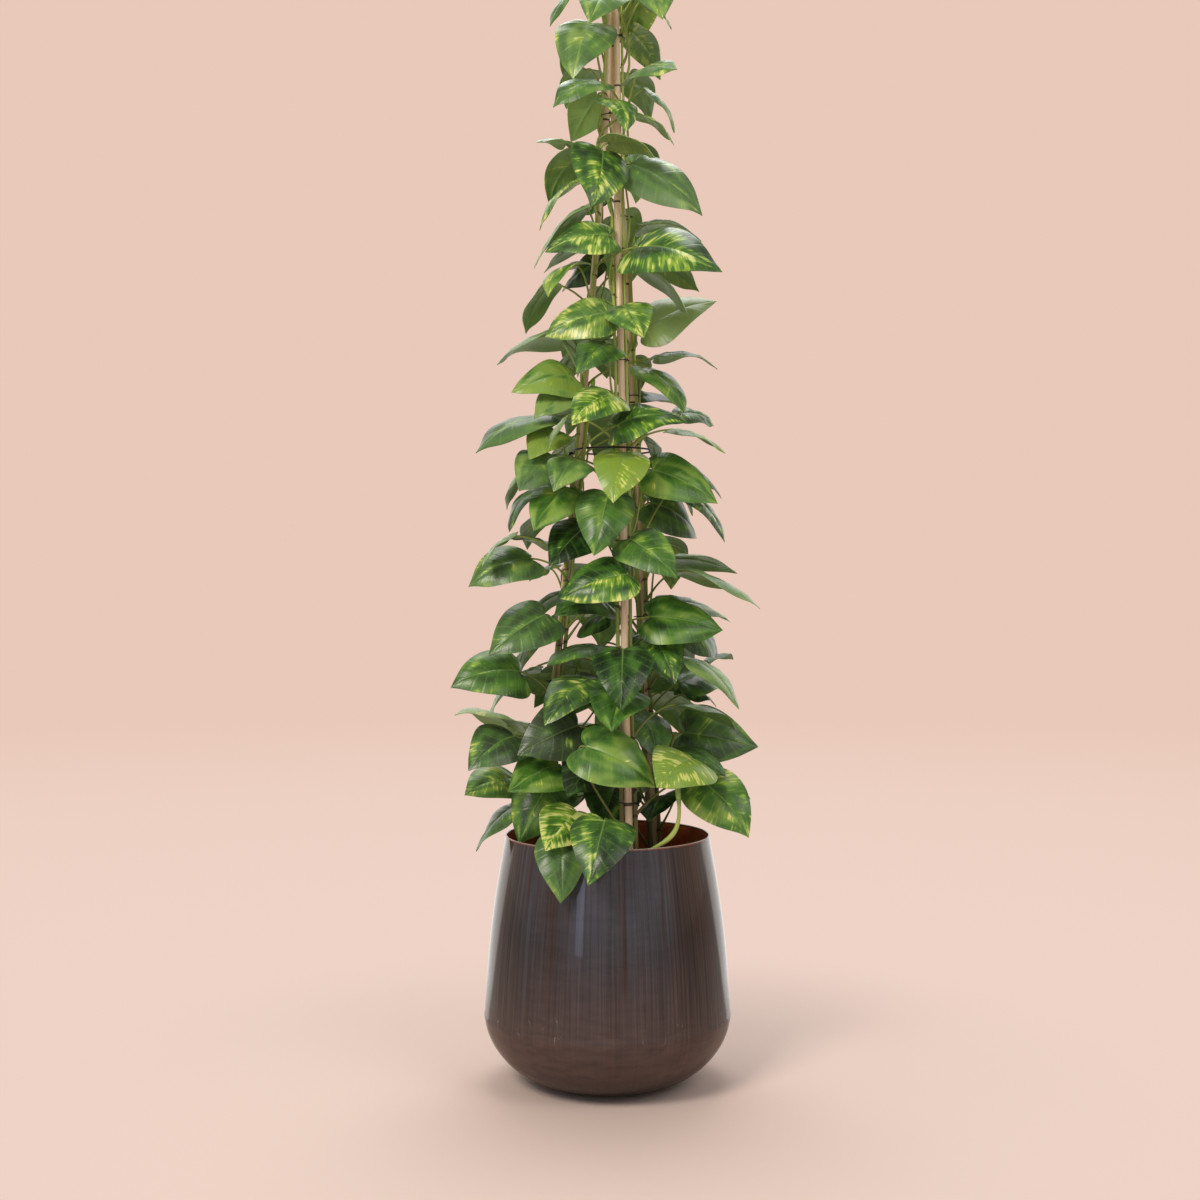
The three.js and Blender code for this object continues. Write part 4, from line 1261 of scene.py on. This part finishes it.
# %% [markdown]
# ## The leaf's skin
#
# A pothos leaf has a smooth waxy skin over deep green flesh. Golden pothos adds cells without
# green, which run from the midrib to the margin between the side veins as streaks of lime and cream.
# The streaks here are noise on the blade's own UV map, long along the veins and thin across them, and
# broad patches decide where they gather. The underside is paler and duller, and its ribs stand out.

# %% Waxy leaf, its places on the blade
leaf_skin, shader, add = new_material(
    "waxy_variegated_leaf", {"IOR": 1.45, "Coat Weight": 0.15, "Coat Roughness": 0.22}
)
column, ahead, _ = add("SeparateXYZ", {0: add("UVMap", uv_map="blade")}).outputs
signed = add("Math", {0: column, 1: 2, 2: -1}, operation="MULTIPLY_ADD")
uncrowded = add("Math", {0: signed}, operation="ABSOLUTE")
reach = add("Math", {0: uncrowded, 1: column_crowding}, operation="POWER")
half = add("Math", {0: signed}, operation="SIGN")
looks = add("Attribute", attribute_name="looks").outputs["Vector"]
gold, tone, sheen_amount = add("SeparateXYZ", {0: looks}).outputs
seed = add("Attribute", attribute_name="seed").outputs["Fac"]
under = add("Attribute", attribute_name="under").outputs["Fac"]
own = add("Math", {0: seed, 1: 37.0, 2: half}, operation="MULTIPLY_ADD")


def along_veins(across, forward, detail):
    spread = add("Math", {0: reach, 1: across}, operation="MULTIPLY")
    advance = add("Math", {0: ahead, 1: forward}, operation="MULTIPLY")
    at = add("CombineXYZ", {0: spread, 1: advance, 2: own})
    return add("TexNoise", {"Vector": at, "Scale": 1, "Detail": detail, "Roughness": 0.6})


# A blade is some 110 mm long, so 46 noise cells from notch to tip are streaks 2.4 mm wide, and 70 are
# flecks of 1.6 mm. Half a blade is some 45 mm wide, so 1.4 cells across are streaks 32 mm long.
fine = along_veins(1.4, 46, 2)
streak = along_veins(1.3, 18, 2)
patch = along_veins(2.0, 4.5, 1)
fleck = along_veins(16, 70, 1)
print("nodes for the places on a leaf:", len(leaf_skin.node_tree.nodes))

# %% Waxy leaf, its flesh and veins
side_vein_rows = 13
depth = add("Math", {0: patch, 1: 1.2, 2: -0.6}, operation="MULTIPLY_ADD")
# A front leaf's tone is partly painted shade: leaves that lie in shadow have a darker tone.
greenness = add("Math", {0: tone, 1: depth}, operation="ADD")
greens = {0: "#11260d", 0.2: "#25471a", 0.35: "#416b28", 0.5: "#4c7c27", 0.7: "#84a74c", 1: "#8aa63c"}
flesh = add("ValToRGB", {0: greenness}, greens)
vein_row = add("Math", {0: ahead, 1: side_vein_rows}, operation="MULTIPLY")
vein_saw = add("Math", {0: vein_row}, operation="FRACT")
vein_line = add("MapRange", {0: add_distance(add, vein_saw, 0.5), 1: 0.16, 2: 0.0}, **soft)
midrib = add("MapRange", {0: reach, 1: 0.04, 2: 0.01}, **soft)
ribs = add("Math", {0: vein_line, 1: midrib}, operation="MAXIMUM")
faint = add("Math", {0: vein_line, 1: 0.13}, operation="MULTIPLY")
clear = add("Math", {0: midrib, 1: 0.55}, operation="MULTIPLY")
paler = add("Math", {0: faint, 1: clear}, operation="MAXIMUM")
ribbed = add("Mix", {0: paler, 6: flesh, 7: linear("#8cb158")}, data_type="RGBA")
print("nodes up to the veins:", len(leaf_skin.node_tree.nodes))

# %% Waxy leaf, its gold, painted sheen and underside
gathered = add("Math", {0: patch, 1: 0.5}, operation="MULTIPLY")
streaked = add("Math", {0: streak, 1: 0.4, 2: gathered}, operation="MULTIPLY_ADD")
gilded = add("Math", {0: fine, 1: 0.4, 2: streaked}, operation="MULTIPLY_ADD")
golden = add("Math", {0: gold, 1: 0.22, 2: gilded}, operation="MULTIPLY_ADD")
lime = add("MapRange", {0: golden, 1: 0.775, 2: 0.83, 4: 0.85}, **soft)
cream = add("MapRange", {0: golden, 1: 0.84, 2: 0.89, 4: 0.95}, **soft)
flecked = add("MapRange", {0: fleck, 1: 0.66, 2: 0.74, 4: 0.55}, **soft)
limes = add("Math", {0: lime, 1: flecked}, operation="MAXIMUM")
# A pale grey-green mixed in by the sheen amount is a painted sheen of reflected light.
sheen_share = add("Math", {0: sheen_amount, 1: 0.4}, operation="MULTIPLY")
below = add("Math", {0: under, 1: 0.6}, operation="MULTIPLY")
skin = ribbed
for share, code in ((limes, "#8fb53c"), (cream, "#dfe584"), (sheen_share, "#93a684"), (below, "#7c9c5c")):
    skin = add("Mix", {0: share, 6: skin, 7: linear(code)}, data_type="RGBA")
dull = add("MapRange", {0: under, 3: 0.32, 4: 0.55})
place = add("TexCoord").outputs["Object"]
cells = add("TexNoise", {"Vector": place, "Scale": 650, "Detail": 2})
relief = add("Math", {0: cells, 1: 0.35, 2: ribs}, operation="MULTIPLY_ADD")
bump = add("Bump", {"Height": relief, "Strength": 0.28, "Distance": 0.0009}, invert=True)
set_inputs(shader, {"Base Color": skin, "Roughness": dull, "Normal": bump})
print("leaf finish nodes:", len(leaf_skin.node_tree.nodes))

# %% [markdown]
# ## The skin of stems and stalks
#
# Young stalks are a clear yellow green. Old stems turn grey brown with fine lengthwise cracks, and
# scars and air roots are brown, so the age kept on each point leads from one colour to the other.

# %% Green bark, then the vines
stem_skin, shader, add = new_material("green_bark", {"Roughness": 0.45, "IOR": 1.45})
grain = add("Attribute", attribute_name="grain").outputs["Vector"]
age = add("Attribute", attribute_name="age").outputs["Fac"]
stretched = add("VectorMath", {0: grain, 1: (3, 3, 60)}, operation="MULTIPLY")
fibres = add("TexNoise", {"Vector": stretched, "Scale": 1, "Detail": 4, "Roughness": 0.6})
aged = add("Math", {0: fibres, 1: 0.5, 2: age}, operation="MULTIPLY_ADD")
bark = add("ValToRGB", {0: aged}, {0.25: "#a9bb5c", 0.5: "#788a3c", 0.75: "#6b5f38", 1: "#4a3826"})
bump = add("Bump", {"Height": fibres, "Strength": 0.35, "Distance": 0.0005})
set_inputs(shader, {"Base Color": bark, "Normal": bump})
for vine in vines:
    grow(vine)

# %% [markdown]
# ## Bamboo canes
#
# The canes are thin dried bamboo, tan, and a little browner lower down as painted shade of the
# leaves, with a raised joint every 20 cm or so and a trimmed bud beside it. Each is one tube whose
# rings crowd at the joints, and its sawn top shows the hollow inside, made by an inset and an
# extrusion of the end face.

# %% Canes
joint_spacing = 195
first_joint = 75
joint_offset = 70
top_step = 25
ring_spacing = 24
bud_size = (0.0019, 0.0019, 0.0042)
joint_steps = {-9: 1.0, -2.6: 1.02, -1.4: 1.1, -0.6: joint_swelling, 0.3: 1.03, 1.4: 1.05, 3.4: 1.1}
joint_steps |= {6: 1.04, 11: 1.0}


def add_bud(bm, cane, joint, turn):
    outward = level_heading(cane_angle(cane, joint) + turn)
    at = Vector(cane_centre(cane, joint + 6) + outward * cane_radius(joint) * 0.93) / 1000
    bud = Matrix.Translation(at) @ Matrix.Diagonal((*bud_size, 1))
    grain = bm.verts.layers.float_vector["grain"]
    for vert in bmesh.ops.create_icosphere(bm, subdivisions=2, radius=1, matrix=bud)["verts"]:
        vert[grain] = (outward[0], outward[1], joint / 1000)


def make_cane(cane):
    top = cane_top - top_step * cane
    joints = np.arange(cane_foot + first_joint + joint_offset * cane, top - 20, joint_spacing)
    rings = {z: (1.0, 0.0) for z in range(cane_foot, top, ring_spacing) if min(abs(joints - z)) > 14}
    for joint in joints:
        for offset, swelling in joint_steps.items():
            rings[joint + offset] = (swelling, float(abs(offset - 0.3) < 1.2))
    rings[top] = (1.0, 0.0)
    heights = sorted(rings)
    points = [cane_centre(cane, z) for z in heights]
    radii = [cane_radius(z) * rings[z][0] * (1 + 0.012 * math.sin(z / 37 + cane)) for z in heights]
    bm = new_tube_mesh()
    end = add_tube(bm, points, radii, 20, [rings[z][1] for z in heights])
    bmesh.ops.inset_region(bm, faces=[end], thickness=0.0018)
    grown = bmesh.ops.extrude_discrete_faces(bm, faces=[end])["faces"][0]
    bmesh.ops.translate(bm, verts=grown.verts[:], vec=(0, 0, -0.012))
    bmesh.ops.recalc_face_normals(bm, faces=bm.faces)
    for i, joint in enumerate(joints):
        add_bud(bm, cane, joint, math.radians(90 + 180 * (i % 2)))
    return bm


print("joints are", joint_spacing, "mm apart, and each has", len(joint_steps), "rings")

# %% [markdown]
# ### Dried bamboo
#
# The skin of the cane is hard and slightly glossy, with fine fibres a third of a millimetre wide that
# run from joint to joint, grey weather stains in long patches, and a dark line round each joint.

# %% Dried bamboo finish
bamboo, shader, add = new_material("dried_bamboo", {"Roughness": 0.42, "IOR": 1.5, "Coat Weight": 0.08})
grain = add("Attribute", attribute_name="grain").outputs["Vector"]
joint = add("Attribute", attribute_name="age").outputs["Fac"]
height = add("SeparateXYZ", {0: add("TexCoord").outputs["Object"]}).outputs["Z"]
fine = add("VectorMath", {0: grain, 1: (14, 14, 18)}, operation="MULTIPLY")
fibres = add("TexNoise", {"Vector": fine, "Scale": 1, "Detail": 4, "Roughness": 0.6})
coarse = add("VectorMath", {0: grain, 1: (1.2, 1.2, 7)}, operation="MULTIPLY")
stains = add("TexNoise", {"Vector": coarse, "Scale": 1, "Detail": 3, "Roughness": 0.65})
stained = add("MapRange", {0: stains, 1: 0.52, 2: 0.75, 4: 0.45})
# Lower down the cane is mixed browner: painted shade of the leaves above it.
low = add("MapRange", {0: height, 1: 1.35, 2: 0.95, 4: 0.2})
straw = add("ValToRGB", {0: fibres}, {0.3: "#dbb88b", 0.7: "#fbecd0"})
for share, code in ((stained, "#8a6a4c"), (low, "#8f6448"), (joint, "#4a3423")):
    straw = add("Mix", {0: share, 6: straw, 7: linear(code)}, data_type="RGBA")
bump = add("Bump", {"Height": fibres, "Strength": 0.25, "Distance": 0.0003})
set_inputs(shader, {"Base Color": straw, "Normal": bump})
for cane, name in enumerate(cane_names):
    finish_piece(f"bamboo_{name}", make_cane(cane), [bamboo], f"cane_{name}")

# %% [markdown]
# ## Hoop and ties
#
# A hoop of dark wire holds the canes apart at one metre, and thinner ties hold the stems to the
# canes. Each is a small circle spun round to a ring, and a tie ends in a short twist of its two
# wires, which stands off at the front as on the real plant.

# %% Wire rings and their twisted ends
twist_reach = 11
twist_droop = 3


def add_ring(bm, centre, radius, wire):
    first = Matrix.Translation(Vector(centre) / 1000 + Vector((radius / 1000, 0, 0)))
    upright = first @ Matrix.Rotation(math.radians(90), 4, "X")
    circle = bmesh.ops.create_circle(bm, segments=8, radius=wire / 1000, matrix=upright)["verts"]
    edges = list({edge for vert in circle for edge in vert.link_edges})
    spin_round(bm, circle + edges, Vector(centre) / 1000, 48)


def add_twist(bm, centre, radius, wire, angle):
    outward = level_heading(angle)
    for strand in (0, math.pi):
        points = []
        for t in np.linspace(0, 1, 16):
            turn = strand + 3 * math.pi * t
            swing = math.cos(turn) * sideways_of(outward) + math.sin(turn) * np.array([0, 0, 1])
            away = outward * (radius + twist_reach * t)
            fall = [0, 0, -twist_droop * t * t]
            points.append(np.array(centre) + away + wire * 1.05 * swing + fall)
        add_tube(bm, points, [wire] * 15 + [wire * 0.7], 6, [0] * 16)


def make_wire(name, node, centre, radius, wire, angle):
    bm = new_tube_mesh()
    add_ring(bm, centre, radius, wire)
    add_twist(bm, centre, radius, wire, math.radians(angle))
    bmesh.ops.recalc_face_normals(bm, faces=bm.faces)
    finish_piece(name, bm, [coated_wire], node)


# %% Coated wire, then the hoop and the ties
coated_wire, shader, add = new_material(
    "coated_steel_wire", {"Roughness": 0.42, "Specular IOR Level": 0.4}
)
_, sooty = add_mottle(add, 180, 3, 0.6, {0.4: "#171413", 0.75: "#3a322c"})
set_inputs(shader, {"Base Color": sooty})
middle = (pyramid_shift(hoop_height), 0, hoop_height)
make_wire("wire_hoop", "hoop", middle, hoop_radius, hoop_wire, 160)
for i, (cane, z) in enumerate(ties):
    centre = cane_centre(cane, z)
    make_wire(f"wire_tie_{i + 1}", f"tie_{i + 1}", centre, tie_radius(z), tie_wire, -50 - 30 * (i % 3))
for i, z in enumerate(bundle_ties):
    centre = (pyramid_shift(z), 0, z)
    name = f"wire_bundle_{i + 1}"
    make_wire(name, f"top_tie_{i + 1}", centre, bundle_tie_radius(z), tie_wire, -100 + 40 * i)

# %% [markdown]
# ## Floor and light
#
# The plant stands on a plain pale floor in a pale room. A large soft light from the upper left front
# models the leaves, a weaker one fills from the right and one shines from above. A tall panel at the
# left front draws the narrow light down the pot. What the lacquer mirrors is a studio that is white
# behind the plant and dark beside it, so that each side of the pot ends in a bright band. The floor
# and the room look even to the camera, because a light path node tells its rays from mirrored ones.

# %% Floor
room_colour = linear("#e9c9b9")
glow_colour = linear("#eed3c6")
studio_white = linear("#f2f0ec")
black = (0, 0, 0, 1)
studio_step = {1: 0.58, 2: 0.65, 4: 1.35}
floor_mesh = bmesh.new()
bmesh.ops.create_grid(floor_mesh, x_segments=8, y_segments=8, size=14)
mesh = bpy.data.meshes.new("floor")
floor_mesh.to_mesh(mesh)
floor_mesh.free()
show("floor", mesh)
plaster, shader, add = new_material("matt_plaster", {"Roughness": 0.95, "Specular IOR Level": 0.0})
mesh.materials.append(plaster)
place = add("TexCoord").outputs["Object"]
mirror_ray = add("LightPath").outputs["Is Glossy Ray"]
away = add("VectorMath", {0: place}, operation="LENGTH")
far = add("MapRange", {0: away, 1: 0.22, 2: 1.0}, **soft)
beyond = add("MapRange", {0: away, 1: 1.0, 2: 9}, **soft)
# Seen in a mirror the floor near the pot is painted darker: a painted shadow under the pot.
floor_shaded_in_mirror = add("Mix", {0: mirror_ray, 6: linear("#fae2d8"), 7: linear("#c2a89b")}, data_type="RGBA")
paint = add("Mix", {0: far, 6: floor_shaded_in_mirror, 7: black}, data_type="RGBA")
backdrop = add("Mix", {0: beyond, 6: glow_colour, 7: room_colour}, data_type="RGBA")
mirrored = add("Mix", {0: mirror_ray, 6: backdrop, 7: studio_white}, data_type="RGBA")
glow = add("Mix", {0: far, 6: black, 7: mirrored}, data_type="RGBA")
heading = add("VectorMath", {0: place}, operation="NORMALIZE")
behind = add("SeparateXYZ", {0: heading}).outputs["Y"]
studio = add("MapRange", {0: behind, 3: 0.35, **studio_step}, **soft)
strength = add("Mix", {0: mirror_ray, 2: 1, 3: studio})
set_inputs(shader, {"Base Color": paint, "Emission Color": glow, "Emission Strength": strength})
print("floor finish nodes:", len(plaster.node_tree.nodes))

# %% World
world = bpy.data.worlds.new("pale_room")
world.use_nodes = True
bpy.context.scene.world = world
add = partial(add_node, world.node_tree)
camera_ray = add("LightPath").outputs["Is Camera Ray"]
_, behind, upward = add("SeparateXYZ", {0: add("TexCoord").outputs["Generated"]}).outputs
ahead = add("MapRange", {0: upward, 1: 0.1, 2: 0.6, 3: 0.5, 4: 0.22}, **soft)
studio = add("MapRange", {0: behind, 3: ahead, **studio_step}, **soft)
strength = add("Mix", {0: camera_ray, 2: studio, 3: 1})
colour = add("Mix", {0: camera_ray, 6: studio_white, 7: room_colour}, data_type="RGBA")
set_inputs(world.node_tree.nodes["Background"], {"Color": colour, "Strength": strength})
print("room colour:", room_colour[:3])


# %% Lights
def add_light(name, place, aim, size, power, colour, spread=180):
    lamp = bpy.data.lights.new(name, "AREA")
    lamp.shape = "RECTANGLE"
    lamp.size, lamp.size_y = size
    lamp.energy = power
    lamp.spread = math.radians(spread)
    lamp.color = linear(colour)[:3]
    holder = show(name, lamp)
    holder.location = place
    holder.rotation_euler = (Vector(aim) - Vector(place)).to_track_quat("-Z", "Y").to_euler()


add_light("key", (-1.6, -2.6, 2.9), (0, 0, 0.9), (1.2, 1.2), 68, "#fff6ea")
add_light("fill", (1.9, -2.1, 2.6), (0, 0, 0.8), (1.6, 1.6), 19, "#fff9f2")
add_light("above", (0, 0.9, 3.2), (0, 0, 1), (1.6, 1.6), 26, "#ffffff")
add_light("panel", (-1.15, -2.3, 0.8), (0, 0, 0.3), (0.34, 1.2), 0.28, "#cfdcff", 60)
print("lights:", len(bpy.data.lights))
